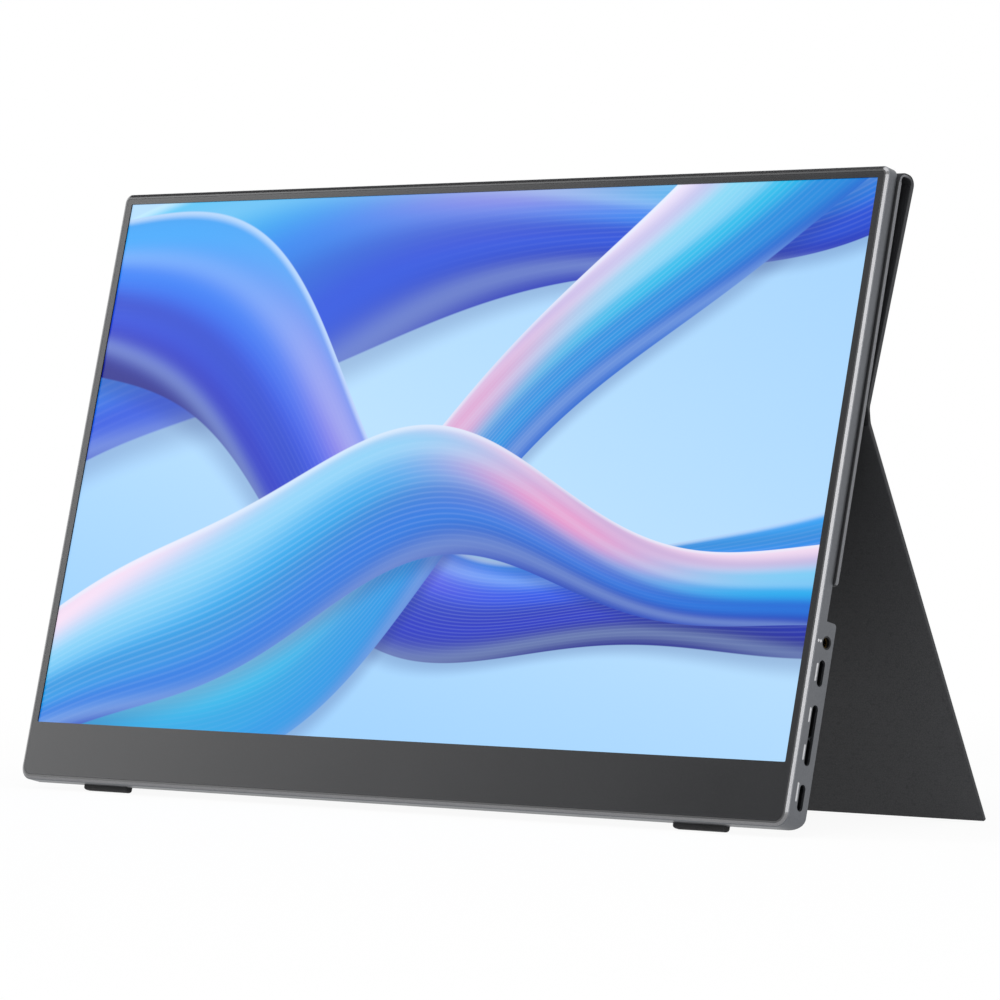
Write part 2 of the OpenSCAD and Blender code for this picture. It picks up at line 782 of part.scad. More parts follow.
module button_switches() {
    color("#c9ccce") placed() for (z = switch_places) {
        block(button_board_x - switch_t + 0.35, button_board_x, socket_y - switch_w / 2,
              socket_y + switch_w / 2, z - switch_w / 2, z + switch_w / 2);
        translate([button_board_x - switch_t, socket_y, z]) rotate([0, 90, 0]) cylinder(d = 1.4, h = 0.4);
    }
}

// Flat cable along the back from the button board to the main board
module button_cable() {
    x = button_board_x + board_t + flex_t;
    end_y = board_y - 0.4;
    color("#c9b273") placed() translate([0, 0, button_cable_z]) linear_extrude(height = button_cable_w)
        ribbon([[x, button_cable_y], [board_x - 12, button_cable_y], [board_x - 6, end_y],
                [board_x + 5 - flex_t, end_y]], button_cable_t);
}

module power_button() {
    color("#8b8d90") placed() translate([0, socket_y, power_z]) {
        run_x(-side_x - button_out, -inner_x + 0.1) oblong([button_w, power_l]);
        run_x(-inner_x + 0.05, -inner_x + 0.05 + flange_t) oblong([button_w, power_l] + flange_over * [1, 1]);
        run_x(-inner_x + flange_t, power_back_x) circle(d = 1.8);
    }
}

module menu_rocker() {
    ridge_t = 0.25;
    color("#8b8d90") placed() difference() {
        union() {
            translate([0, socket_y, rocker_z]) {
                run_x(-side_x - button_out, -inner_x - 0.35) oblong([button_w, rocker_l]);
                for (s = [-1, 1]) translate([0, 0, s * (rocker_l / 2 - 3)])
                    run_x(-side_x - button_out - ridge_t, -side_x) oblong([2 * ridge_t, 1.6]);
            }
            pin_y(rocker_axis_x, rocker_z, socket_y - button_w / 2, socket_y + button_w / 2, rocker_hub_d);
            for (s = [-1, 1]) translate([0, socket_y, rocker_z + s * rocker_reach])
                run_x(-inner_x - 0.6, power_back_x - 0.2) circle(d = 1.6);
        }
        pin_y(rocker_axis_x, rocker_z, 0, base_t, rocker_pin_d + 2 * pin_air);
    }
}

module rocker_pin() {
    room = button_w / 2 + button_air;
    color("#c2c5c8") placed()
        pin_y(rocker_axis_x, rocker_z, socket_y - room - ear_t, socket_y + room + ear_t, rocker_pin_d);
}

module case_screws() {
    color("#3a3c3f") placed() for (x = case_screw_x) difference() {
        union() {
            pin_y(x, case_screw_z, case_seat_y, case_seat_y + case_head_t, case_head_d);
            pin_y(x, case_screw_z, case_seat_y - case_screw_l, case_seat_y + 0.1, case_screw_d);
        }
        for (a = [0, 90]) translate([x, 0, case_screw_z]) rotate([0, a, 0])
            block(-cross_w / 2, cross_w / 2, case_seat_y + case_head_t - 0.55, base_t, -1.1, 1.1);
    }
}

module board_screws() {
    color("#b8bbbe") placed() for (p = board_holes) difference() {
        union() {
            pin_y(p[0], p[1], board_y - board_head_t, board_y, board_head_d);
            pin_y(p[0], p[1], board_y - 0.1, board_y + board_screw_l, board_screw_d);
        }
        for (a = [0, 90]) translate([p[0], 0, p[1]]) rotate([0, a, 0])
            block(-cross_w / 2, cross_w / 2, board_y - board_head_t - over, board_y - board_head_t + 0.4,
                  -0.9, 0.9);
    }
}

// Steel plates on the inside of the back wall that the cover's magnets pull on
module holding_plates() {
    color("#9fa3a6") placed() for (s = [-1, 1]) for (z = magnet_z)
        block(s * magnet_x - magnet_l / 2, s * magnet_x + magnet_l / 2, deck_y - plate_t, deck_y,
              z - magnet_h / 2, z + magnet_h / 2);
}

module foot(side) {
    r = foot_edge_r;
    placed() intersection() {
        run_x(side * foot_x - foot_l / 2, side * foot_x + foot_l / 2) {
            translate([foot_y, r - foot_h]) square([foot_d, foot_h - r + foot_pocket]);
            translate([foot_y + r, -foot_h]) square([foot_d - 2 * r, r + 0.1]);
            for (y = [foot_y + r, foot_y + foot_d - r]) translate([y, r - foot_h]) circle(r);
        }
        slab(foot_y - over, foot_y + foot_d + over) translate([side * foot_x, -foot_h])
            rounded_rect(foot_l, foot_h + foot_pocket + foot_end_r + over, foot_end_r);
    }
}

module foot_left() {
    color("#232325") foot(-1);
}

module foot_right() {
    color("#232325") foot(1);
}

// A leaf is drawn with its fold line on the X axis, its lining on the Y = 0 plane,
// its skin on the +Y side, and its length along +Z.

module leaf_skin(trim, l, t) {
    slab(0, t) difference() {
        translate([0, trim]) rounded_rect(cover_w, l - trim, cover_corner_r);
        leaf_pocket(trim, l);
    }
    slab(t - skin_t, t) leaf_pocket(trim, l);
}

module leaf_pocket(trim, l) {
    translate([0, trim + hem_w]) rounded_rect(cover_w - 2 * hem_w, l - trim - 2 * hem_w, cover_corner_r / 2);
}

module leaf_board(trim, l, t) {
    slab(lining_t, t - skin_t) leaf_pocket(trim, l);
}

module leaf_lining(trim, l) {
    slab(0, lining_t) leaf_pocket(trim, l);
}

module strip(y0, y1, z0, z1) {
    block(-cover_w / 2, cover_w / 2, y0, y1, z0, z1);
}

module back_place() {
    placed() translate([0, fold_y, fold_z]) rotate([0, 180, 0]) children();
}

module spine_place() {
    placed() translate([0, fold_y, fold_z]) rotate([-90, 0, 0]) children();
}

module flap_place() {
    placed() translate([0, flap_y, fold_z]) rotate([180 - flap_lean, 0, 0]) children();
}

module strip_place() {
    placed() translate([0, strip_start[0], strip_start[1]]) rotate([180 + strip_angle, 0, 0]) children();
}

module leg_place() {
    placed() translate([0, leg_start[0], leg_start[1]]) rotate([180 + leg_angle, 0, 0]) children();
}

// Windows in the back panel's board, and the magnets that fill them
module magnet_shapes() {
    for (s = [-1, 1]) for (z = magnet_z)
        block(s * magnet_x - magnet_l / 2, s * magnet_x + magnet_l / 2, lining_t, back_panel_t - skin_t,
              fold_z - z - magnet_h / 2, fold_z - z + magnet_h / 2);
}

module cover_back_skin() {
    color("#5b5d60") back_place() leaf_skin(fold_trim, back_panel_l, back_panel_t);
}

module cover_back_board() {
    color("#9a8f7c") back_place() difference() {
        leaf_board(fold_trim, back_panel_l, back_panel_t);
        magnet_shapes();
    }
}

module cover_back_lining() {
    color("#2b2c2f") back_place() leaf_lining(fold_trim, back_panel_l);
}

module cover_magnets() {
    color("#8d9194") back_place() magnet_shapes();
}

module cover_spine_skin() {
    color("#3a3b3e") spine_place() strip(lining_t, spine_t, 0, spine_l);
}

module cover_spine_lining() {
    color("#2b2c2f") spine_place() strip(0, lining_t, 0, spine_l);
}

module flap_skin() {
    color("#3a3b3e") flap_place() leaf_skin(flap_trim, flap_l - crease_gap, leaf_t);
}

module flap_board() {
    color("#9a8f7c") flap_place() leaf_board(flap_trim, flap_l - crease_gap, leaf_t);
}

module flap_lining() {
    color("#2b2c2f") flap_place() leaf_lining(flap_trim, flap_l - crease_gap);
}

module crease_strip() {
    color("#2e2f32") strip_place() strip(0, crease_t, crease_gap, crease_l - crease_gap);
}

module leg_skin() {
    color("#37383b") leg_place() leaf_skin(crease_gap, leg_l, leaf_t);
}

module leg_board() {
    color("#9a8f7c") leg_place() leaf_board(crease_gap, leg_l, leaf_t);
}

module leg_lining() {
    color("#2b2c2f") leg_place() leaf_lining(crease_gap, leg_l);
}

rear_housing();
front_bezel();
lcd_cell();
light_guide();
light_bar();
display_tray();
driver_board();
driver_flexes();
display_cable();
main_board();
board_chips();
usb_c_high();
usb_c_middle();
usb_c_low();
mini_hdmi();
socket_tongues();
audio_jack();
speaker_left();
speaker_right();
speaker_leads();
button_board();
button_switches();
button_cable();
power_button();
menu_rocker();
rocker_pin();
case_screws();
board_screws();
holding_plates();
foot_left();
foot_right();
cover_back_skin();
cover_back_board();
cover_back_lining();
cover_magnets();
cover_spine_skin();
cover_spine_lining();
flap_skin();
flap_board();
flap_lining();
crease_strip();
leg_skin();
leg_board();
leg_lining();
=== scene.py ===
import json
import math

import bmesh
import bpy
from mathutils import Matrix, Vector


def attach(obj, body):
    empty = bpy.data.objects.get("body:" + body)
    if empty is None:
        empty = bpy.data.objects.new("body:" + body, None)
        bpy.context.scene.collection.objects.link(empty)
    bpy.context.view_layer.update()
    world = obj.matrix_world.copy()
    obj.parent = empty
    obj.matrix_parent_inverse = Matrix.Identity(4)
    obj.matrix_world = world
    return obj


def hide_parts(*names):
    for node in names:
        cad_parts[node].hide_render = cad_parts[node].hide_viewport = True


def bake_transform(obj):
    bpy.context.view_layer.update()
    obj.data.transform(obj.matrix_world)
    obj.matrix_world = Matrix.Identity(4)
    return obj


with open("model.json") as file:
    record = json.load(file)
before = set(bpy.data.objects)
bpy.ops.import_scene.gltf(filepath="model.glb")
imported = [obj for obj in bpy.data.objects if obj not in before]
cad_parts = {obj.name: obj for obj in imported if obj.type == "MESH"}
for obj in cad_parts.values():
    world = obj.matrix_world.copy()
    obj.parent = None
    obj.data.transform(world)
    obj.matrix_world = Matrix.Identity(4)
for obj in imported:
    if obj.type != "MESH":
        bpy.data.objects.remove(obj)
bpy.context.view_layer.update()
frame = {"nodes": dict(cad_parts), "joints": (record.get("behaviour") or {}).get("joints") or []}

nodes = frame["nodes"]
jointList = {joint["name"]: joint for joint in frame["joints"]}


class Wire:
    # one output socket, with the sums that the materials need
    def __init__(self, graph, socket):
        self.graph = graph
        self.socket = socket

    def join(self, operation, other, flip=False):
        first, second = (other, self) if flip else (self, other)
        return self.graph.make("ShaderNodeMath", {"operation": operation}, {0: first, 1: second})

    def __add__(self, other):
        return self.join("ADD", other)

    def __radd__(self, other):
        return self.join("ADD", other, True)

    def __sub__(self, other):
        return self.join("SUBTRACT", other)

    def __rsub__(self, other):
        return self.join("SUBTRACT", other, True)

    def __mul__(self, other):
        return self.join("MULTIPLY", other)

    def __rmul__(self, other):
        return self.join("MULTIPLY", other, True)

    def __truediv__(self, other):
        return self.join("DIVIDE", other)

    def __rtruediv__(self, other):
        return self.join("DIVIDE", other, True)

    def __pow__(self, other):
        return self.join("POWER", other)

    def __rpow__(self, other):
        return self.join("POWER", other, True)

    def __gt__(self, other):
        return self.join("GREATER_THAN", other)

    def __lt__(self, other):
        return self.join("LESS_THAN", other)

    def most(self, other):
        return self.join("MAXIMUM", other)

    def one(self, operation):
        return self.graph.make("ShaderNodeMath", {"operation": operation}, {0: self})

    def ramp(self, low, high, start=0.0, end=1.0):
        # a smooth step from start to end between low and high
        return self.graph.make("ShaderNodeMapRange", {"interpolation_type": "SMOOTHSTEP"},
                               {0: self, 1: low, 2: high, 3: start, 4: end})


class Graph:
    # a shader or geometry tree with one way to add any node
    def __init__(self, tree):
        self.tree = tree

    def make(self, kind, settings=None, sockets=None, out=0):
        node = self.tree.nodes.new(kind)
        for key, value in (settings or {}).items():
            if key == "stops":
                setStops(node.color_ramp, *value)
            else:
                setattr(node, key, value)
        for key, value in (sockets or {}).items():
            if isinstance(value, Wire):
                self.tree.links.new(value.socket, node.inputs[key])
            elif value is not None:
                node.inputs[key].default_value = value
        return Wire(self, node.outputs[out]) if len(node.outputs) else node

    def blend(self, factor, first, second):
        return self.make("ShaderNodeMix", {"data_type": "RGBA"}, {0: factor, 6: first, 7: second}, 2)

    def colours(self, factor, stops, interpolation="LINEAR"):
        return self.make("ShaderNodeValToRGB", {"stops": (interpolation, stops)}, {0: factor})

    def vector(self, operation, first, second):
        out = 1 if operation == "LENGTH" else 0
        return self.make("ShaderNodeVectorMath", {"operation": operation}, {0: first, 1: second}, out)

    def noise(self, where, scale, detail=3.0, roughness=0.5, out=0):
        return self.make("ShaderNodeTexNoise", {"noise_dimensions": "3D"},
                         {"Vector": where, "Scale": scale, "Detail": detail, "Roughness": roughness}, out)

    def objectSpot(self):
        return self.make("ShaderNodeTexCoord", out=3)


def setStops(ramp, interpolation, stops):
    ramp.interpolation = interpolation
    while len(ramp.elements) < len(stops):
        ramp.elements.new(0.5)
    for element, (position, colour) in zip(ramp.elements, stops):
        element.position = position
        element.color = colour


def rgb(hexText):
    # a written colour, as the linear values that Blender takes
    channels = [int(hexText[i:i + 2], 16) / 255 for i in (1, 3, 5)]
    return tuple(c / 12.92 if c <= 0.04045 else ((c + 0.055) / 1.055) ** 2.4 for c in channels) + (1.0,)


def emptyGraph(owner):
    # the cleared node tree of a material or a world
    owner.use_nodes = True
    owner.node_tree.nodes.clear()
    return Graph(owner.node_tree)


def newMaterial(name):
    material = bpy.data.materials.new(name)
    return material, emptyGraph(material)


# Drawn axes, in mm: x to the right, y from the front face back, z up the screen.

foldLine = {"y": 4.7, "z": 219.09}
releaseAxis = jointList["cover_release"]["axis"]
leanCos, leanSin = -releaseAxis[1], releaseAxis[2]
foldPoint = Vector(jointList["spine_fold"]["pos_m"])


def place(x, y, z):
    # a drawn point, in Blender's metres
    dy, dz = (y - foldLine["y"]) / 1000, (z - foldLine["z"]) / 1000
    return Vector((x / 1000, foldPoint.y + dy * leanCos + dz * leanSin,
                   foldPoint.z - dy * leanSin + dz * leanCos))


def direction(x, y, z):
    return Vector((x, y * leanCos + z * leanSin, z * leanCos - y * leanSin)).normalized()


def drawnAxes(graph):
    # the shaded point as a drawn vector, and its drawn x, y and z, in mm
    lean = math.atan2(leanSin, leanCos)
    turned = Matrix.Rotation(lean, 3, "X") @ (foldPoint * 1000)
    shift = Vector((0, foldLine["y"], foldLine["z"])) - turned
    drawn = graph.make("ShaderNodeMapping", {"vector_type": "POINT"},
                       {"Vector": graph.objectSpot(), "Location": shift, "Rotation": (lean, 0, 0),
                        "Scale": (1000,) * 3})
    parts = graph.tree.nodes.new("ShaderNodeSeparateXYZ")
    graph.tree.links.new(drawn.socket, parts.inputs[0])
    return drawn, [Wire(graph, parts.outputs[i]) for i in range(3)]


cameraView = {
    # place in mm and directions, both in the drawn axes, then the lens in mm and the clipping in metres
    "position": (1248.3, -1336.5, -207.205), "forward": (-0.6631, 0.7288, 0.1705), "up": (-0.0102, -0.2366, 0.9716),
    "lens": 195.03, "sensor": 36.0, "clip": (0.05, 50),
}


def addCamera(values):
    data = bpy.data.cameras.new("camera")
    data.lens, data.sensor_width = values["lens"], values["sensor"]
    data.clip_start, data.clip_end = values["clip"]
    camera = bpy.data.objects.new("camera", data)
    forward, up = direction(*values["forward"]), direction(*values["up"])
    up = (up - forward * up.dot(forward)).normalized()
    side = forward.cross(up)
    turn = Matrix((side, up, -forward)).transposed().to_4x4()
    camera.matrix_world = Matrix.Translation(place(*values["position"])) @ turn
    bpy.context.scene.collection.objects.link(camera)
    bpy.context.scene.camera = camera


addCamera(cameraView)
print("camera set")


studio = {"worldColour": "#ffffff", "worldLight": 0.36,
          # floor, in metres: size, its own colour, how white the camera sees it near the monitor, where that ends
          "floorSize": 14.0, "floorColour": "#f4f4f5", "floorShow": 0.93, "shadeReach": (0.25, 0.75)}
lamps = {
    # name: place, aims at, size, power
    "keyLeft": ((-1.75, -1.00, 0.85), (0.0, 0.0, 0.10), (0.8, 1.3), 24),
    "topSoft": ((0.2, -0.3, 2.2), (0.0, 0.0, 0.0), (1.8, 1.8), 20),
    "frontStrip": ((1.00, -1.30, 0.74), (0.17, 0.0, 0.10), (0.34, 0.6), 2.0),
    "rightFill": ((1.7, 0.1, 0.9), (0.0, 0.05, 0.10), (0.8, 1.2), 7),
}
flags = {
    # dark cards that only reflections see: place, faces, size
    "flagTop": ((-1.30, 0.30, 1.60), (0.0, 0.0, 0.20), (1.5, 1.1)),
    "flagFront": ((-0.95, -2.00, 0.80), (0.0, 0.0, 0.10), (1.5, 1.7)),
}


def aimed(spot, target):
    turn = (Vector(target) - Vector(spot)).to_track_quat("-Z", "Y").to_matrix().to_4x4()
    return Matrix.Translation(spot) @ turn


def showsBackdrop(g):
    # 1 for the rays that see the white backdrop: from the camera, off gloss and through glass
    rays = g.tree.nodes.new("ShaderNodeLightPath")
    camera, gloss, glass = [Wire(g, rays.outputs[label])
                            for label in ("Is Camera Ray", "Is Glossy Ray", "Is Transmission Ray")]
    return camera.most(gloss).most(glass)


def stageSheet(name, size, material):
    # one flat face, for the floor and the dark cards
    w, h = size[0] / 2, size[1] / 2
    mesh = bpy.data.meshes.new(name)
    mesh.from_pydata([(-w, -h, 0), (w, -h, 0), (w, h, 0), (-w, h, 0)], [], [(0, 1, 2, 3)])
    mesh.materials.append(material)
    sheet = bpy.data.objects.new(name, mesh)
    bpy.context.scene.collection.objects.link(sheet)
    return sheet


def addWorld(values):
    world = bpy.data.worlds.new("studioWorld")
    bpy.context.scene.world = world
    g = emptyGraph(world)
    strength = showsBackdrop(g) * (1 - values["worldLight"]) + values["worldLight"]
    ground = g.make("ShaderNodeBackground", None, {"Color": rgb(values["worldColour"]), "Strength": strength})
    g.make("ShaderNodeOutputWorld", None, {"Surface": ground})


def addFloor(values):
    paper, g = newMaterial("studioPaper")
    matt = g.make("ShaderNodeBsdfDiffuse", None, {"Color": rgb(values["floorColour"])})
    white = g.make("ShaderNodeEmission", None, {"Color": (1, 1, 1, 1), "Strength": 1.0})
    far = g.vector("LENGTH", g.objectSpot(), (0, 0, 0)).ramp(*values["shadeReach"], values["floorShow"], 1.0)
    both = g.make("ShaderNodeMixShader", None, {0: showsBackdrop(g) * far, 1: matt, 2: white})
    g.make("ShaderNodeOutputMaterial", None, {"Surface": both})
    stageSheet("floor", (values["floorSize"], values["floorSize"]), paper)


def addLamps():
    for name, (spot, target, size, power) in lamps.items():
        data = bpy.data.lights.new(name, "AREA")
        data.shape, data.size, data.size_y = "RECTANGLE", size[0], size[1]
        data.energy = power
        lamp = bpy.data.objects.new(name, data)
        lamp.matrix_world = aimed(spot, target)
        lamp.visible_camera = False
        bpy.context.scene.collection.objects.link(lamp)


def addFlags():
    dark, g = newMaterial("flagCloth")
    cloth = g.make("ShaderNodeBsdfDiffuse", None, {"Color": (0.01, 0.01, 0.01, 1)})
    g.make("ShaderNodeOutputMaterial", None, {"Surface": cloth})
    for name, (spot, target, size) in flags.items():
        card = stageSheet(name, size, dark)
        card.matrix_world = aimed(spot, target)
        card.visible_camera = card.visible_diffuse = card.visible_shadow = card.visible_transmission = False


addWorld(studio)
addFloor(studio)
addLamps()
addFlags()
bpy.context.scene.view_settings.view_transform = "Standard"
print("studio set")


def finishMaterial(g, sockets):
    shader = g.make("ShaderNodeBsdfPrincipled", None, sockets)
    g.make("ShaderNodeOutputMaterial", None, {"Surface": shader})


def bump(g, height, strength, distance):
    return g.make("ShaderNodeBump", None, {"Height": height, "Strength": strength, "Distance": distance})


blastedMetal = {
    "shades": ["#636569", "#686a6e", "#7b7e83"], "metal": 0.85, "roughness": 0.40,
    "cloud": 22, "grain": 2600, "grainBump": 0.35, "grainDepth": 0.00002,
    # the cut bevel, as deep in mm as it shines, and in front of it a thin dark line of painted shade standing for the
    # gap to the front bezel
    "bevelDepth": 0.62, "bevelBlur": 0.02, "bevelShades": ["#7a7a7c", "#868688"], "bevelRoughness": 0.17,
    "cutterMarks": (0.4, 40, 0.4), "rimReach": (0.01, 0.05), "rim": "#2e2f31", "rimRoughness": 0.45,
}


def makeBlastedMetal(values):
    # bead-blasted anodised shell with a bright cut bevel, and painted shade in a thin dark line along its front edge
    material, g = newMaterial("blastedMetal")
    drawn, (x, y, z) = drawnAxes(g)
    cut = 1 - y.ramp(values["bevelDepth"] - values["bevelBlur"], values["bevelDepth"] + values["bevelBlur"])
    # painted shade: the front edge is darkened and loses its metal where the gap to the bezel is
    rim = 1 - y.ramp(*values["rimReach"])
    spot = g.objectSpot()
    grain = g.noise(spot, values["grain"], 2.0, 0.6)
    cloud = g.noise(spot, values["cloud"], 3.0, 0.55)
    low, high, speck = [rgb(shade) for shade in values["shades"]]
    base = g.blend(cloud.ramp(0.3, 0.7), low, high)
    base = g.blend(grain.ramp(0.35, 0.65) * 0.35, base, speck)
    marks = g.make("ShaderNodeMapping", {"vector_type": "POINT"}, {"Vector": drawn, "Scale": values["cutterMarks"]})
    lines = g.noise(marks, 1.0, 2.0, 0.5)
    bright = g.blend(lines.ramp(0.3, 0.7), *[rgb(shade) for shade in values["bevelShades"]])
    colour = g.blend(rim, g.blend(cut, base, bright), rgb(values["rim"]))
    blastedRough = grain * 0.12 + (values["roughness"] - 0.06)
    cutRough = lines * 0.08 + values["bevelRoughness"]
    rough = (blastedRough * (1 - cut) + cut * cutRough) * (1 - rim) + rim * values["rimRoughness"]
    finishMaterial(g, {"Base Color": colour, "Metallic": values["metal"] - rim * values["metal"], "Roughness": rough,
                       "Normal": bump(g, grain * (1 - cut), values["grainBump"], values["grainDepth"])})
    return material


satinSheet = {"shades": ["#16171a", "#1a1b1e", "#27282c"], "roughness": 0.33, "specular": 0.255,
              "cloud": 14, "grain": 3400, "grainBump": 0.25, "grainDepth": 0.00002,
              # where the sheet's paler cut edge starts and ends, in drawn mm
              "edgeShade": "#26272b", "edgeSides": (173.9, 174.4), "edgeTop": (216.1, 216.7), "edgeLow": (1.9, 2.5)}


def makeSatinSheet(values):
    # front sheet with a fine sprayed grain, a touch paler where its edge is cut
    material, g = newMaterial("satinSheet")
    drawn, (x, y, z) = drawnAxes(g)
    spot = g.objectSpot()
    grain = g.noise(spot, values["grain"], 2.0, 0.6)
    cloud = g.noise(spot, values["cloud"], 3.0, 0.5)
    low, high, speck = [rgb(shade) for shade in values["shades"]]
    base = g.blend(cloud.ramp(0.35, 0.65), low, high)
    base = g.blend(grain.ramp(0.4, 0.7) * 0.3, base, speck)
    sides = x.one("ABSOLUTE").ramp(*values["edgeSides"])
    edge = sides.most(z.ramp(*values["edgeTop"])).most(1 - z.ramp(*values["edgeLow"]))
    colour = g.blend(edge * 0.7, base, rgb(values["edgeShade"]))
    rough = grain * 0.14 + cloud * 0.06 + (values["roughness"] - 0.10)
    finishMaterial(g, {"Base Color": colour, "Roughness": rough, "Specular IOR Level": values["specular"],
                       "Normal": bump(g, grain, values["grainBump"], values["grainDepth"])})
    return material


wallpaper = {
    # the lit area in drawn mm, how far it runs under the bezel, and the depth its face lies in front of
    "width": 344.16, "height": 193.59, "low": 21.2, "spill": 0.12, "depth": 1.6,
    "sky": ["#8ec8fb", "#b5ddfd", "#a2d2fc"], "shade": "#0c2f8a", "blush": "#ee8fc4",
    "ridge": "#c4e8ff", "thread": "#d2ebff", "lip": "#e2f4ff", "roughness": 0.42, "specular": 0.12,
}
# Broad silky ribbons, back to front: turn in degrees, height at the left, its waves as
# (size, count, shift), width and how it swells, the colours across it, the blush as
# (along, across, reach, strength) and its fine lines. Lengths are shares of the picture's height.
ribbons = [
    {"turn": 24, "start": 0.30, "waves": [(0.16, 2.1, 0.6), (0.05, 4.3, 1.9)], "width": 0.34,
     "swell": (0.12, 2.6, 0.2), "blush": (1.30, 0.75, 0.30, 0.35), "lines": 26,
     "across": ["#0d2db6", "#0e4fdc", "#0a84ee", "#18b2ee", "#74d7f7"]},
    {"turn": -13, "start": 0.52, "waves": [(0.15, 2.7, 2.3), (0.04, 6.0, 0.4)], "width": 0.27,
     "swell": (0.10, 3.1, 1.1), "blush": (0.55, 0.80, 0.30, 0.30), "lines": 30,
     "across": ["#0a178c", "#0e2cc2", "#144ee4", "#197af2", "#2fa4f6"]},
    {"turn": 31, "start": -0.16, "waves": [(0.13, 2.4, 3.4), (0.04, 5.1, 2.0)], "width": 0.30,
     "swell": (0.10, 2.0, 2.4), "blush": (1.05, 0.80, 0.34, 0.85), "lines": 28,
     "across": ["#0762ce", "#0696e2", "#15bbea", "#84d7f4", "#efe6fb"]},
    {"turn": 8, "start": 0.05, "waves": [(0.12, 3.0, 5.0), (0.03, 7.1, 1.0)], "width": 0.22,
     "swell": (0.09, 2.7, 0.3), "blush": (1.25, 0.72, 0.26, 0.95), "lines": 24,
     "across": ["#073fb8", "#0976de", "#12a9ec", "#78caf3", "#f3dcf1"]},
]


fullTurn = 6.283


def wave(along, size, count, shift):
    return (along * count + shift).one("SINE") * size


def pulse(phase):
    # a sine between 0 and 1
    return phase.one("SINE") * 0.5 + 0.5


def addRibbon(g, under, across, up, values, shades):
    turn = math.radians(values["turn"])
    along = across * math.cos(turn) + up * math.sin(turn)
    above = up * math.cos(turn) - across * math.sin(turn)
    edge = values["start"]
    for size, count, shift in values["waves"]:
        edge = wave(along, size, count, shift) + edge
    width = wave(along, *values["swell"]) + values["width"]
    share = (above - edge) / width
    inside = share.ramp(0.0, 0.012) * (1 - share.ramp(0.988, 1.0))
    # a soft shade under the ribbon's lower edge, then its silk
    shade = share.ramp(-0.16, 0.0) * (1 - share.ramp(0.0, 0.02))
    under = g.blend(shade * 0.34, under, rgb(shades["shade"]))
    fold = share + (along * 3.3 + share * 2.4).one("SINE") * 0.13
    stops = [(i / 4, rgb(c)) for i, c in enumerate(values["across"])]
    silk = g.colours(fold, stops, "EASE")
    # a blush of another colour, a pale ridge and a dark valley along the folds
    centre, height, reach, strength = values["blush"]
    far = ((along - centre) / reach) ** 2.0 + ((share - height) / 0.22) ** 2.0
    silk = g.blend((0 - far).one("EXPONENT") * strength, silk, rgb(shades["blush"]))
    ridge = pulse(fold * fullTurn * 1.5 + along * 1.2)
    silk = g.blend((ridge ** 8.0) * 0.20, silk, rgb(shades["ridge"]))
    silk = g.blend(((1 - ridge) ** 5.0) * 0.30, silk, rgb(values["across"][0]))
    # fine lines that fade in and out, and the pale upper edge
    thread = pulse(share * values["lines"] * fullTurn + (along * 2.0).one("SINE") * 3.0)
    fade = pulse(along * 2.3 + values["start"] * 9) * (share * (1 - share) * 4)
    silk = g.blend((thread ** 3.0) * fade * 0.12, silk, rgb(shades["thread"]))
    silk = g.blend(share.ramp(0.94, 0.99) * 0.55, silk, rgb(shades["lip"]))
    return g.blend(inside, under, silk)


def makePicture(values):
    # the lit picture: waves of silk over a pale sky, black glass outside it
    material, g = newMaterial("litPicture")
    drawn, (x, y, z) = drawnAxes(g)
    across = x / values["height"] + values["width"] / values["height"] / 2
    up = (z - values["low"]) / values["height"]
    picture = g.colours(up * 0.6 + across * 0.22, [(i / 2, rgb(shade)) for i, shade in enumerate(values["sky"])])
    for ribbon in ribbons:
        picture = addRibbon(g, picture, across, up, ribbon, values)
    spill = values["spill"]
    inside = (x.one("ABSOLUTE") < values["width"] / 2 + spill) * (z > values["low"] - spill)
    inside = inside * (z < values["low"] + values["height"] + spill) * (y < values["depth"])
    light = g.blend(inside, (0, 0, 0, 1), picture)
    finishMaterial(g, {"Base Color": (0.004, 0.004, 0.006, 1), "Roughness": values["roughness"],
                       "Specular IOR Level": values["specular"], "Emission Color": light, "Emission Strength": 1.0})
    return material


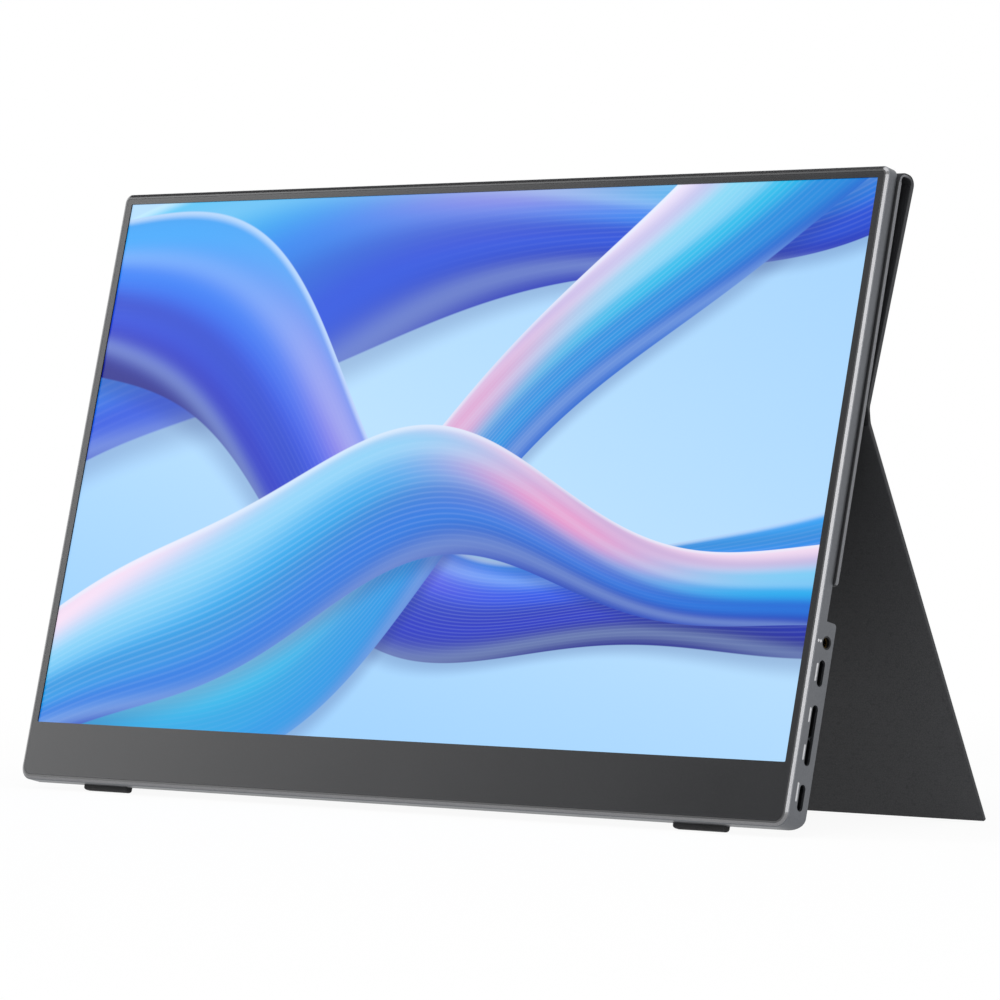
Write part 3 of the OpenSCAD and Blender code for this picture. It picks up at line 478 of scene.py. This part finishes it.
# What a moulded, rubber, metal or painted look has where it names nothing else.
plainLook = {"grain": 1500, "cloud": 60, "metal": 0.0, "specular": 0.5, "bump": 0.3, "bumpDepth": 0.00003}
grainedLooks = {
    "footRubber": {"dark": "#2b2b2d", "pale": "#363638", "roughness": 0.72, "grain": 1700, "bump": 0.4,
                   "specular": 0.35},
    "blackPlastic": {"dark": "#131416", "pale": "#1a1b1d", "roughness": 0.45, "grain": 2200},
    "shellSteel": {"dark": "#3d3f42", "pale": "#4b4d51", "roughness": 0.42, "metal": 1.0, "bump": 0.1},
    "screwSteel": {"dark": "#3c3d40", "pale": "#4a4b4f", "roughness": 0.34, "metal": 1.0, "bump": 0.15},
    "trayTin": {"dark": "#8b8e92", "pale": "#9da0a4", "roughness": 0.42, "metal": 1.0},
    "guideAcrylic": {"dark": "#e6e9ec", "pale": "#f1f3f5", "roughness": 0.25, "bump": 0.05},
    "lampStrip": {"dark": "#d9d6b8", "pale": "#ece9cc", "roughness": 0.5},
    "ribbonFilm": {"dark": "#a9762a", "pale": "#bd8632", "roughness": 0.35, "bump": 0.1},
    "chipBlack": {"dark": "#1a1b1d", "pale": "#232427", "roughness": 0.55},
    "speakerBlack": {"dark": "#17181a", "pale": "#1f2022", "roughness": 0.6},
    "leadWire": {"dark": "#7d2622", "pale": "#8f2f2a", "roughness": 0.45, "bump": 0.1},
    "switchBody": {"dark": "#b9bbbe", "pale": "#cdd0d3", "roughness": 0.4},
    "magnetNickel": {"dark": "#8b8f92", "pale": "#a0a4a7", "roughness": 0.22, "metal": 1.0, "bump": 0.1},
    "greyBoard": {"dark": "#8f8571", "pale": "#a1967f", "roughness": 0.85, "grain": 700, "bump": 0.6},
    "contactGold": {"dark": "#b8923c", "pale": "#caa450", "roughness": 0.25, "metal": 1.0, "bump": 0.05},
    "printWhite": {"dark": "#cfd0d2", "pale": "#dededf", "roughness": 0.6},
    "grilleWire": {"dark": "#1c1d1f", "pale": "#292a2d", "roughness": 0.55, "metal": 0.6},
}


def makeGrained(name, values):
    # a base colour with mottling, and a grain in its roughness and bump
    material, g = newMaterial(name)
    spot = g.objectSpot()
    grain = g.noise(spot, values["grain"], 2.0, 0.6)
    cloud = g.noise(spot, values["cloud"], 3.0, 0.55)
    colour = g.blend(cloud.ramp(0.35, 0.65), rgb(values["dark"]), rgb(values["pale"]))
    rough = grain * 0.16 + cloud * 0.08 + (values["roughness"] - 0.12)
    finishMaterial(g, {"Base Color": colour, "Roughness": rough, "Metallic": values["metal"],
                       "Specular IOR Level": values["specular"],
                       "Normal": bump(g, grain, values["bump"], values["bumpDepth"])})
    return material


leather = {"dark": "#2a2b2e", "pale": "#333437", "worn": "#4c4d50", "roughness": 0.52, "specular": 0.42,
           "cloud": 9, "wrinkle": 260, "pebble": 1150, "warp": 420, "warpSize": 0.0006,
           "bump": 0.32, "bumpDepth": 0.00006,
           # the grey sealed edges, from this drawn x out, and the painted shade on the hem's side that faces the body
           "edge": "#75767a", "edgeReach": (176.95, 177.10), "hem": "#1c1d1f"}
leatherKinds = {
    "flapLeather": {},
    "spineLeather": {"sealed": True, "edgeFade": (6.5, 13.0)},  # its grey edge fades on the way over the top
    "backLeather": {"sealed": True, "hemShadeReach": (4.85, 4.95)},
}


def makeLeather(name, values, kind):
    # coated leather: small pebbles between fine creases, with painted shade in the valleys between the pebbles, paler
    # on the rubbed high spots
    material, g = newMaterial(name)
    spot = g.objectSpot()
    warp = g.noise(spot, values["warp"], 2.0, 0.5, 1)
    bent = g.vector("ADD", spot, g.vector("MULTIPLY", warp, (values["warpSize"],) * 3))
    pebble = g.make("ShaderNodeTexVoronoi", {"feature": "DISTANCE_TO_EDGE"},
                    {"Vector": bent, "Scale": values["pebble"], "Randomness": 0.9})
    wrinkle = g.noise(spot, values["wrinkle"], 4.0, 0.62)
    cloud = g.noise(spot, values["cloud"], 3.0, 0.5)
    raised = pebble.ramp(0.0, 0.16)
    colour = g.blend(cloud.ramp(0.3, 0.7), rgb(values["dark"]), rgb(values["pale"]))
    # painted shade: darker in the low valleys between the pebbles
    colour = g.blend((1 - raised) * 0.35, colour, rgb(values["dark"]))
    colour = g.blend((wrinkle.ramp(0.55, 0.8) * raised) * 0.22, colour, rgb(values["worn"]))
    if "sealed" in kind:
        drawn, (x, y, z) = drawnAxes(g)
        sealed = x.one("ABSOLUTE").ramp(*values["edgeReach"])
        if "edgeFade" in kind:
            sealed = sealed * (1 - y.ramp(*kind["edgeFade"]))
        colour = g.blend(sealed, colour, rgb(values["edge"]))
        if "hemShadeReach" in kind:
            # painted shade: the side nearest the body is darkened for the shadowed gap behind the panel
            colour = g.blend(1 - y.ramp(*kind["hemShadeReach"]), colour, rgb(values["hem"]))
    rough = (1 - raised) * 0.16 + wrinkle * 0.12 + (values["roughness"] - 0.08)
    height = raised * 0.65 + wrinkle * 0.5
    finishMaterial(g, {"Base Color": colour, "Roughness": rough, "Specular IOR Level": values["specular"],
                       "Normal": bump(g, height, values["bump"], values["bumpDepth"])})
    return material


liningNap = {"dark": "#242527", "pale": "#303134", "tip": "#45464a", "nap": 2400, "swirl": 45, "roughness": 0.86,
             "specular": 0.25, "sheen": 0.25, "sheenRoughness": 0.45, "sheenTint": "#8a8c92",
             "bump": 0.5, "bumpDepth": 0.00008}


def makeNap(values):
    # brushed lining cloth: short nap, soft mottling, sheen at grazing angles
    material, g = newMaterial("liningNap")
    spot = g.objectSpot()
    nap = g.noise(spot, values["nap"], 3.0, 0.7)
    swirl = g.noise(spot, values["swirl"], 4.0, 0.6)
    colour = g.blend(swirl.ramp(0.3, 0.7), rgb(values["dark"]), rgb(values["pale"]))
    colour = g.blend(nap.ramp(0.45, 0.75) * 0.4, colour, rgb(values["tip"]))
    finishMaterial(g, {"Base Color": colour, "Roughness": nap * 0.1 + values["roughness"],
                       "Specular IOR Level": values["specular"],
                       "Sheen Weight": values["sheen"], "Sheen Roughness": values["sheenRoughness"],
                       "Sheen Tint": rgb(values["sheenTint"]),
                       "Normal": bump(g, nap, values["bump"], values["bumpDepth"])})
    return material


boardGreen = {"mask": ["#1d5a36", "#1a5232"], "track": "#2f7a4c", "pad": "#c9a24f", "trackScale": 0.55,
              "trackWidth": 0.06, "padScale": 2.2, "padReach": (0.66, 0.70), "roughness": 0.3,
              "bump": 0.2, "bumpDepth": 0.00005}


def makeBoard(values):
    # circuit board: green mask over copper tracks and pads
    material, g = newMaterial("boardGreen")
    drawn, axes = drawnAxes(g)
    tracks = g.make("ShaderNodeTexBrick", None,
                    {"Vector": drawn, "Scale": values["trackScale"], "Mortar Size": values["trackWidth"],
                     "Color1": rgb(values["mask"][0]), "Color2": rgb(values["mask"][1]),
                     "Mortar": rgb(values["track"])})
    specks = g.noise(drawn, values["padScale"], 2.0, 0.5)
    colour = g.blend(specks.ramp(*values["padReach"]), tracks, rgb(values["pad"]))
    finishMaterial(g, {"Base Color": colour, "Roughness": specks * 0.2 + values["roughness"],
                       "Normal": bump(g, specks, values["bump"], values["bumpDepth"])})
    return material


looks = {name: makeGrained(name, {**plainLook, **values}) for name, values in grainedLooks.items()}
looks["blastedMetal"] = makeBlastedMetal(blastedMetal)
looks["satinSheet"] = makeSatinSheet(satinSheet)
looks["litPicture"] = makePicture(wallpaper)
looks["boardGreen"] = makeBoard(boardGreen)
looks["liningNap"] = makeNap(liningNap)
for name, kind in leatherKinds.items():
    looks[name] = makeLeather(name, leather, kind)

nodeLooks = {
    "blastedMetal": ["rear_housing", "power_button", "menu_rocker"],
    "satinSheet": ["front_bezel"],
    "litPicture": ["lcd_cell"],
    "guideAcrylic": ["light_guide"],
    "lampStrip": ["light_bar"],
    "trayTin": ["display_tray", "holding_plates"],
    "boardGreen": ["driver_board", "main_board", "button_board"],
    "ribbonFilm": ["driver_flexes", "display_cable", "button_cable"],
    "chipBlack": ["board_chips"],
    "shellSteel": ["usb_c_high", "usb_c_middle", "usb_c_low", "mini_hdmi", "rocker_pin"],
    "blackPlastic": ["socket_tongues", "audio_jack"],
    "speakerBlack": ["speaker_left", "speaker_right"],
    "leadWire": ["speaker_leads"],
    "switchBody": ["button_switches"],
    "screwSteel": ["case_screws", "board_screws"],
    "footRubber": ["foot_left", "foot_right"],
    "magnetNickel": ["cover_magnets"],
    "greyBoard": ["cover_back_board", "flap_board", "leg_board"],
}
for look, names in nodeLooks.items():
    for name in names:
        data = nodes[name].data
        data.materials.clear()
        data.materials.append(looks[look])
print("materials ready")


def meshObject(name, points, faces, look, sharpAngle=35):
    mesh = bpy.data.meshes.new(name)
    shape = bmesh.new()
    made = [shape.verts.new(p) for p in points]
    for face in faces:
        shape.faces.new([made[i] for i in face])
    bmesh.ops.recalc_face_normals(shape, faces=shape.faces)
    shape.to_mesh(mesh)
    shape.free()
    mesh.shade_smooth()
    mesh.set_sharp_from_angle(angle=math.radians(sharpAngle))
    mesh.materials.append(look)
    piece = bpy.data.objects.new(name, mesh)
    bpy.context.scene.collection.objects.link(piece)
    return piece


def roundedOutline(halfWidth, low, high, radius, steps=6):
    # corners of a rounded rectangle, anticlockwise from the lower right
    points = []
    for cx, cz, start in ((1, low, -90), (1, high, 0), (-1, high, 90), (-1, low, 180)):
        for i in range(steps + 1):
            a = math.radians(start + 90 * i / steps)
            z = cz + radius if cz == low else cz - radius
            points.append((cx * (halfWidth - radius) + radius * math.cos(a), z + radius * math.sin(a)))
    return points


def ringStack(name, rings, look):
    # closed skin over a stack of rings with the same number of points, capped at both ends
    count = len(rings[0])
    points = [p for ring in rings for p in ring]
    faces = [tuple(range(count))[::-1], tuple(range(len(points) - count, len(points)))]
    for r in range(len(rings) - 1):
        for i in range(count):
            j = (i + 1) % count
            faces.append((r * count + i, r * count + j, (r + 1) * count + j, (r + 1) * count + i))
    return meshObject(name, points, faces, look)


cover = {
    # sizes and angles of the whole cover, as the CAD has them
    "width": 354.8, "backL": 139.3, "flapL": 79.9, "creaseL": 4.5, "legL": 146.0, "spineW": 8.6,
    "backT": 1.8, "leafT": 1.5, "spineT": 1.2, "creaseT": 0.9, "skin": 0.5, "lining": 0.4,
    "flapLean": 3.589927, "stripAngle": 21.410073, "legAngle": 39.8,
    # leather: hem width, radii of its turned edges and corners, ring on its face, pocket's edge
    "hem": 1.2, "edge": 0.42, "turnIn": 0.30, "corner": 1.5, "legCorner": 0.35, "leastCorner": 0.25,
    "faceRing": 0.5, "pocketEdge": (0.12, 0.10),
    # lining: gap to the hem, corner radius, and its edge as (inset, height)
    "liningGap": 0.06, "liningCorner": 0.8,
    "liningEdge": [(0.0, 0.39), (0.0, 0.12), (0.05, 0.03), (0.16, -0.02), (0.6, -0.03)],
    # bent strips: how far they lie inside the width, and their ends as (share of thickness, inset)
    "stripInset": 0.03, "stripEnd": [(0.30, 0.0), (0.62, 0.05), (0.86, 0.14), (1.0, 0.34)],
    "overlap": 0.02, "sink": 0.06, "stepAngle": 9,
    # spine: how far the panels end short of it, its reach into them, its sag, arch and rounding
    "spineTrim": 3.4, "tuck": 1.5, "spineSag": 0.95, "spineArch": 0.2, "spineRound": 3.3,
    "spineShy": 0.16, "spineTaper": 3.4,
    # crease: the same
    "creaseGap": 0.15, "creaseTuck": 0.9, "creaseRound": 4.0, "creaseShy": 0.06, "creaseTaper": 1.9,
}


class Leaf:
    # a flat panel of the cover: its fold line, the way it runs and the way its skin faces
    def __init__(self, start, run, skin):
        self.start, self.run, self.skin = start, run, skin

    def spot(self, along, out):
        return tuple(self.start[i] + self.run[i] * along + self.skin[i] * out for i in (0, 1))

    def at(self, x, along, out):
        return place(x, *self.spot(along, out))


def leafRun(angle):
    # the (y, z) way of a leaf that hangs at an angle from straight down
    a = math.radians(angle)
    return math.sin(a), -math.cos(a)


def moved(point, way, distance):
    return tuple(point[i] + distance * way[i] for i in (0, 1))


backStart = (foldLine["y"], foldLine["z"])
flapStart = (foldLine["y"] + cover["spineW"], foldLine["z"])
flapRun, creaseRun, legRun = leafRun(-cover["flapLean"]), leafRun(cover["stripAngle"]), leafRun(cover["legAngle"])
creaseStart = moved(flapStart, flapRun, cover["flapL"])
legStart = moved(creaseStart, creaseRun, cover["creaseL"])
flapEnd = cover["flapL"] - cover["creaseGap"]
backLeaf = Leaf(backStart, (0, -1), (1, 0))
flapLeaf = Leaf(flapStart, flapRun, (flapRun[1], -flapRun[0]))
legLeaf = Leaf(legStart, legRun, (legRun[1], -legRun[0]))


def turnedEdge(thick, values):
    # (inset, height) from the middle of the skin side round the edge to the pocket's floor
    edge, low = values["edge"], values["turnIn"]
    steps = [(edge + values["faceRing"], thick), (edge, thick)]
    for angle in range(15, 91, 15):
        a = math.radians(angle)
        steps.append((edge - edge * math.sin(a), thick - edge + edge * math.cos(a)))
    for angle in range(0, 91, 15):
        a = math.radians(angle)
        steps.append((low - low * math.cos(a), low - low * math.sin(a)))
    inset, rise = values["pocketEdge"]
    return steps + [(values["hem"] - inset, 0.0), (values["hem"], rise), (values["hem"], thick - values["skin"])]


def leatherPanel(name, panel, values):
    # skin turned round the board's edges, open on the lining side
    rings = []
    for inset, height in turnedEdge(panel["thick"], values):
        outline = roundedOutline(values["width"] / 2 - inset, panel["from"] + inset, panel["to"] - inset,
                                 max(panel["corner"] - inset, values["leastCorner"]))
        rings.append([panel["leaf"].at(x, z, height) for x, z in outline])
    return ringStack(name, rings, looks[panel["look"]])


def liningSheet(name, panel, inset, values):
    # cloth let into the hem, its edge pressed down all round
    rings = []
    for grow, height in values["liningEdge"]:
        outline = roundedOutline(values["width"] / 2 - inset - grow, panel["from"] + inset + grow,
                                 panel["to"] - inset - grow, values["liningCorner"])
        rings.append([panel["leaf"].at(x, z, height) for x, z in outline])
    return ringStack(name, rings, looks["liningNap"])


panels = {
    # from and to run along the leaf, from its fold line
    "backPanel": {"leaf": backLeaf, "from": cover["spineTrim"], "to": cover["backL"], "thick": cover["backT"],
                  "corner": cover["corner"], "look": "backLeather", "body": "cover_back",
                  "skinNode": "cover_back_skin", "liningNode": "cover_back_lining", "board": "cover_back_board"},
    "flap": {"leaf": flapLeaf, "from": cover["spineTrim"], "to": flapEnd, "thick": cover["leafT"],
             "corner": cover["corner"], "look": "flapLeather", "body": "cover_flap",
             "skinNode": "flap_skin", "liningNode": "flap_lining", "board": "flap_board"},
    "leg": {"leaf": legLeaf, "from": cover["creaseGap"], "to": cover["legL"], "thick": cover["leafT"],
            "corner": cover["legCorner"], "look": "flapLeather", "body": "cover_leg",
            "skinNode": "leg_skin", "liningNode": "leg_lining", "board": "leg_board"},
}
for name, panel in panels.items():
    skin = leatherPanel(name + "Leather", panel, cover)
    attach(skin, panel["body"])
    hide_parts(panel["skinNode"])
for name, panel in panels.items():
    inset = cover["hem"] + cover["liningGap"]
    lining = liningSheet(name + "Lining", panel, inset, cover)
    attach(lining, panel["body"])
    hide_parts(panel["liningNode"])
    cutLength = panel["to"] - panel["from"] - 2 * inset
    cutLength / 1000


def bendStrip(name, path, look, values, inner=0.0):
    # a strip run across the cover: path holds (y, z, out y, out z, thickness) along its lining side
    half = values["width"] / 2 - values["stripInset"]
    stations = [(-half + off, share) for share, off in values["stripEnd"]]
    stations += [(-half + values["hem"], 1.0), (half - values["hem"], 1.0)]
    stations += [(half - off, share) for share, off in reversed(values["stripEnd"])]
    rings = []
    for x, share in stations:
        outer = [(y, z, oy, oz, inner + (t - inner) * (0.5 + 0.5 * share)) for y, z, oy, oz, t in path]
        under = [(y, z, oy, oz, inner + (t - inner) * (0.5 - 0.5 * share)) for y, z, oy, oz, t in reversed(path)]
        rings.append([place(x, y + oy * out, z + oz * out) for y, z, oy, oz, out in outer + under])
    return ringStack(name, rings, look)


def roundedPath(points, radius, thick, stepAngle):
    # start, rounded corner and end in (y, z), with the skin to the right of the run
    start, corner, end = [Vector(point) for point in points]
    a, b = (start - corner).normalized(), (end - corner).normalized()
    angle = math.acos(a.dot(b))
    reach = radius / math.tan(angle / 2)
    middle = corner + (a + b).normalized() * (radius / math.sin(angle / 2))
    first, last = corner + a * reach - middle, corner + b * reach - middle
    turn = math.pi - angle
    count = max(2, int(math.degrees(turn) / stepAngle))
    if first.x * last.y < first.y * last.x:
        turn = -turn
    spots = [start]
    for k in range(count + 1):
        c, s = math.cos(turn * k / count), math.sin(turn * k / count)
        spots.append(middle + Vector((first.x * c - first.y * s, first.x * s + first.y * c)))
    spots.append(end)
    whole = sum((after - before).length for before, after in zip(spots, spots[1:]))
    path, run = [], 0
    for i, spot in enumerate(spots):
        if i:
            run += (spot - spots[i - 1]).length
        ahead = spots[min(i + 1, len(spots) - 1)] - spots[max(i - 1, 0)]
        out = Vector((ahead.y, -ahead.x)).normalized()
        path.append((spot.x, spot.y, out.x, out.y, thick(run, whole)))
    return path


def taper(edgeT, middleT, reach, atStart):
    # thickness along a strip that grows to edgeT at the end where it meets its panel
    def thick(run, whole):
        w = min((run if atStart else whole - run) / reach, 1.0)
        return edgeT + (middleT - edgeT) * w * w * (3 - 2 * w)
    return thick


def addBend(name, bend, values):
    # a leather strip and its lining that turn smoothly from one body to the next
    path = roundedPath(bend["corners"], bend["radius"], bend["thick"], values["stepAngle"])
    liner = [(y, z, oy, oz, values["lining"]) for y, z, oy, oz, t in path]
    start, end = [tuple(place(0, *moved(bend["centre"], bend["way"], reach))) for reach in bend["reach"]]
    skin = bendStrip(name + "Leather", path, looks[bend["look"]], values, values["lining"] - values["overlap"])
    lining = bendStrip(name + "Lining", liner, looks["liningNap"], values)
    for piece, node, slot in ((skin, bend["skinNode"], "cover_skin"), (lining, bend["liningNode"], "cover_lining")):
        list(bend["bodies"])
        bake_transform(piece)
        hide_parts(node)


# The spine rolls over the top in two halves that meet on it, and the crease is made the same way.
topZ = foldLine["z"] - cover["spineSag"]
spineMiddle = (foldLine["y"] + cover["spineW"] / 2, topZ + cover["spineArch"])
spineTuck = cover["spineTrim"] + cover["tuck"]
creaseMiddle = tuple((creaseStart[i] + legStart[i]) / 2 for i in (0, 1))
spine = {"radius": cover["spineRound"], "look": "spineLeather", "skinNode": "cover_spine_skin",
         "liningNode": "cover_spine_lining"}
crease = {"radius": cover["creaseRound"], "look": "flapLeather", "skinNode": "crease_strip",
          "liningNode": "crease_strip"}
bends = {
    # centre, way and reach give two points in mm, centre + reach[0] * way and centre + reach[1] * way
    "spineBack": {**spine, "bodies": ("cover_back", "cover_spine"),
                  "corners": [backLeaf.spot(spineTuck, cover["sink"]),
                              (backStart[0] + cover["sink"] / 2, topZ), spineMiddle],
                  "thick": taper(cover["backT"] - cover["spineShy"], cover["spineT"], cover["spineTaper"], True),
                  "centre": backStart, "way": (1, 1), "reach": (0.125, 0.85)},
    "spineFlap": {**spine, "bodies": ("cover_spine", "cover_flap"),
                  "corners": [spineMiddle, (flapStart[0] - cover["sink"] / 2, topZ),
                              flapLeaf.spot(spineTuck, cover["sink"])],
                  "thick": taper(cover["leafT"] - cover["spineShy"], cover["spineT"], cover["spineTaper"], False),
                  "centre": flapStart, "way": (1, -1), "reach": (-0.85, -0.05)},
    "creaseFlap": {**crease, "bodies": ("cover_flap", "cover_crease"),
                   "corners": [flapLeaf.spot(flapEnd - cover["creaseTuck"], cover["sink"]), creaseStart, creaseMiddle],
                   "thick": taper(cover["leafT"] - cover["creaseShy"], cover["creaseT"], cover["creaseTaper"], True),
                   "centre": creaseStart, "way": leafRun((cover["stripAngle"] - cover["flapLean"]) / 2),
                   "reach": (-0.5, 1.2)},
    "creaseLeg": {**crease, "bodies": ("cover_crease", "cover_leg"),
                  "corners": [creaseMiddle, legStart,
                              legLeaf.spot(cover["creaseGap"] + cover["creaseTuck"], cover["sink"])],
                  "thick": taper(cover["leafT"] - cover["creaseShy"], cover["creaseT"], cover["creaseTaper"], False),
                  "centre": legStart, "way": leafRun((cover["stripAngle"] + cover["legAngle"]) / 2),
                  "reach": (-1.2, 0.5)},
}
for name, bend in bends.items():
    addBend(name, bend, cover)
print("cover made")


def newTree(name, inputs):
    # a Geometry Nodes tree with named inputs and one geometry output
    tree = bpy.data.node_groups.new(name, "GeometryNodeTree")
    tree.is_modifier = True
    keys = {}
    for label, kind in inputs:
        entry = tree.interface.new_socket(name=label, in_out="INPUT", socket_type="NodeSocket" + kind)
        keys[label] = entry.identifier
    tree.interface.new_socket(name="Geometry", in_out="OUTPUT", socket_type="NodeSocketGeometry")
    g = Graph(tree)
    group = tree.nodes.new("NodeGroupInput")
    return g, {label: Wire(g, group.outputs[label]) for label, kind in inputs}, keys


def boxRow(g, count, start, step, size):
    # the same small box at equal steps along a line
    line = g.make("GeometryNodeMeshLine", {"mode": "OFFSET"}, {"Count": count, "Start Location": start, "Offset": step})
    box = g.make("GeometryNodeMeshCube", None, {"Size": size})
    return g.make("GeometryNodeInstanceOnPoints", None, {"Points": line, "Instance": box})


def combine(g, x, y, z):
    return g.make("ShaderNodeCombineXYZ", None, {0: x, 1: y, 2: z})


def closeTree(g, rows, look):
    joined = g.tree.nodes.new("GeometryNodeJoinGeometry")
    for row in rows:
        g.tree.links.new(row.socket, joined.inputs[0])
    real = g.make("GeometryNodeRealizeInstances", None, {"Geometry": Wire(g, joined.outputs[0])})
    done = g.make("GeometryNodeSetMaterial", None, {"Geometry": real, "Material": look})
    g.make("NodeGroupOutput", None, {"Geometry": done})


def padTree():
    # two facing rows of contact pads
    g, entry, keys = newTree("padRows", [("Count", "Int"), ("Pitch", "Float"), ("Reach", "Float"), ("Width", "Float"),
                                         ("Thickness", "Float"), ("Apart", "Float"), ("Look", "Material")])
    first = (entry["Count"] - 1) * entry["Pitch"] * -0.5
    size = combine(g, entry["Reach"], entry["Thickness"], entry["Width"])
    step = combine(g, None, None, entry["Pitch"])
    rows = [boxRow(g, entry["Count"], combine(g, None, entry["Apart"] * side, first), step, size)
            for side in (-0.5, 0.5)]
    closeTree(g, rows, entry["Look"])
    return g.tree, keys


def wireTree():
    # a dust mesh: upright wires, then wires across that lie on them
    g, entry, keys = newTree("wireMesh", [("Width", "Float"), ("Height", "Float"), ("Pitch", "Float"),
                                          ("Wire", "Float"), ("Lift", "Float"), ("Look", "Material")])
    rows = []
    for axis, span, length in ((0, entry["Width"], entry["Height"]), (2, entry["Height"], entry["Width"])):
        count = (span / entry["Pitch"]).one("FLOOR")
        start, step, size = [None] * 3, [None] * 3, [entry["Wire"]] * 3
        start[axis], step[axis], size[2 - axis] = (count - 1) * entry["Pitch"] * -0.5, entry["Pitch"], length
        if rows:
            start[1] = entry["Lift"]
        rows.append(boxRow(g, count, combine(g, *start), combine(g, *step), combine(g, *size)))
    closeTree(g, rows, entry["Look"])
    return g.tree, keys


def grown(name, madeTree, values, spots):
    # what a tree makes, set at each spot in drawn mm, as one plain mesh
    tree, keys = madeTree
    seedMesh = bpy.data.meshes.new(name + "Seed")
    seed = bpy.data.objects.new(name + "Seed", seedMesh)
    bpy.context.scene.collection.objects.link(seed)
    modifier = seed.modifiers.new(name, "NODES")
    modifier.node_group = tree
    for label, identifier in keys.items():
        modifier[identifier] = values[label]
    ready = seed.evaluated_get(bpy.context.evaluated_depsgraph_get())
    made = bpy.data.meshes.new_from_object(ready)
    points, faces = [], []
    for x, y, z in spots:
        faces += [tuple(len(points) + i for i in polygon.vertices) for polygon in made.polygons]
        points += [place(x + v.co.x, y + v.co.y, z + v.co.z) for v in made.vertices]
    bpy.data.objects.remove(seed)
    bpy.data.meshes.remove(made)
    bpy.data.meshes.remove(seedMesh)
    return meshObject(name, points, faces, values["Look"])


socketPads = {
    # pads on the tongues: middle x, depth behind the front face, heights, and the tree's values
    "usbPads": {"x": 172.35, "y": 5.7, "z": [51.23, 25.323, 10.577], "Count": 12, "Pitch": 0.5, "Reach": 3.0,
                "Width": 0.26, "Thickness": 0.03, "Apart": 0.72},
    "hdmiPads": {"x": 172.3, "y": 5.7, "z": [35.403], "Count": 10, "Pitch": 0.76, "Reach": 3.2,
                 "Width": 0.3, "Thickness": 0.03, "Apart": 0.62},
}
dustMesh = {"x": 91.95, "y": 8.2, "z": 48.0, "Width": 26.0, "Height": 9.0, "Pitch": 0.5, "Wire": 0.16, "Lift": 0.144}

padMaker = padTree()
for name, values in socketPads.items():
    spots = [(values["x"], values["y"], z) for z in values["z"]]
    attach(grown(name, padMaker, {**values, "Look": looks["contactGold"]}, spots), "monitor")
speakerSpots = [(side * dustMesh["x"], dustMesh["y"], dustMesh["z"]) for side in (-1, 1)]
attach(grown("speakerDustMesh", wireTree(), {**dustMesh, "Look": looks["grilleWire"]}, speakerSpots), "monitor")
print("pads and dust mesh made")


sidePrint = {"face": 176.45, "sink": 0.02, "rise": 0.03, "width": 0.8,
             # bars as (depth, low end, high end), dots as (depth, height)
             "bars": [(3.3, 48.3, 54.2), (3.4, 34.9, 39.7), (3.4, 22.6, 27.6), (3.2, 9.0, 15.2)],
             "dots": [(1.9, 61.3), (3.12, 61.35)], "dotSize": 0.5}


def arc(y, z, radius, start, end, step):
    angles = [math.radians(a) for a in range(start, end, step)]
    return [(y + radius * math.cos(a), z + radius * math.sin(a)) for a in angles]


def printedMarks(values):
    # plain bars and dots in front of the sockets, a thin film proud of the side
    r = values["width"] / 2
    outlines = [arc(y, top - r, r, 0, 181, 20) + arc(y, bottom + r, r, 180, 361, 20)
                for y, bottom, top in values["bars"]]
    outlines += [arc(y, z, values["dotSize"], 0, 360, 24) for y, z in values["dots"]]
    points, faces = [], []
    for outline in outlines:
        first, count = len(points), len(outline)
        points += [place(values["face"] + out, y, z) for out in (-values["sink"], values["rise"]) for y, z in outline]
        faces += [tuple(range(first, first + count)), tuple(range(first + count, first + 2 * count))]
        for i in range(count):
            j = (i + 1) % count
            faces.append((first + i, first + j, first + count + j, first + count + i))
    return meshObject("socketMarks", points, faces, looks["printWhite"])


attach(printedMarks(sidePrint), "monitor")

ringSizes = {"x": 174.9, "y": 6.2, "z": 61.3, "outer": 1.79, "inner": 1.62, "long": 0.7, "steps": 40}


def jackRing(values):
    # the spring contact inside the audio jack
    outer, inner, count = values["outer"], values["inner"], values["steps"]
    points = []
    for radius, back in ((outer, 0), (outer, values["long"]), (inner, values["long"]), (inner, 0)):
        for i in range(count):
            a = 2 * math.pi * i / count
            points.append(place(values["x"] - back, values["y"] + radius * math.cos(a),
                                values["z"] + radius * math.sin(a)))
    faces = [(a * count + i, a * count + (i + 1) % count, b * count + (i + 1) % count, b * count + i)
             for a, b in ((0, 1), (1, 2), (2, 3), (3, 0)) for i in range(count)]
    return meshObject("jackContact", points, faces, looks["contactGold"])


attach(jackRing(ringSizes), "monitor")
print("small details made")
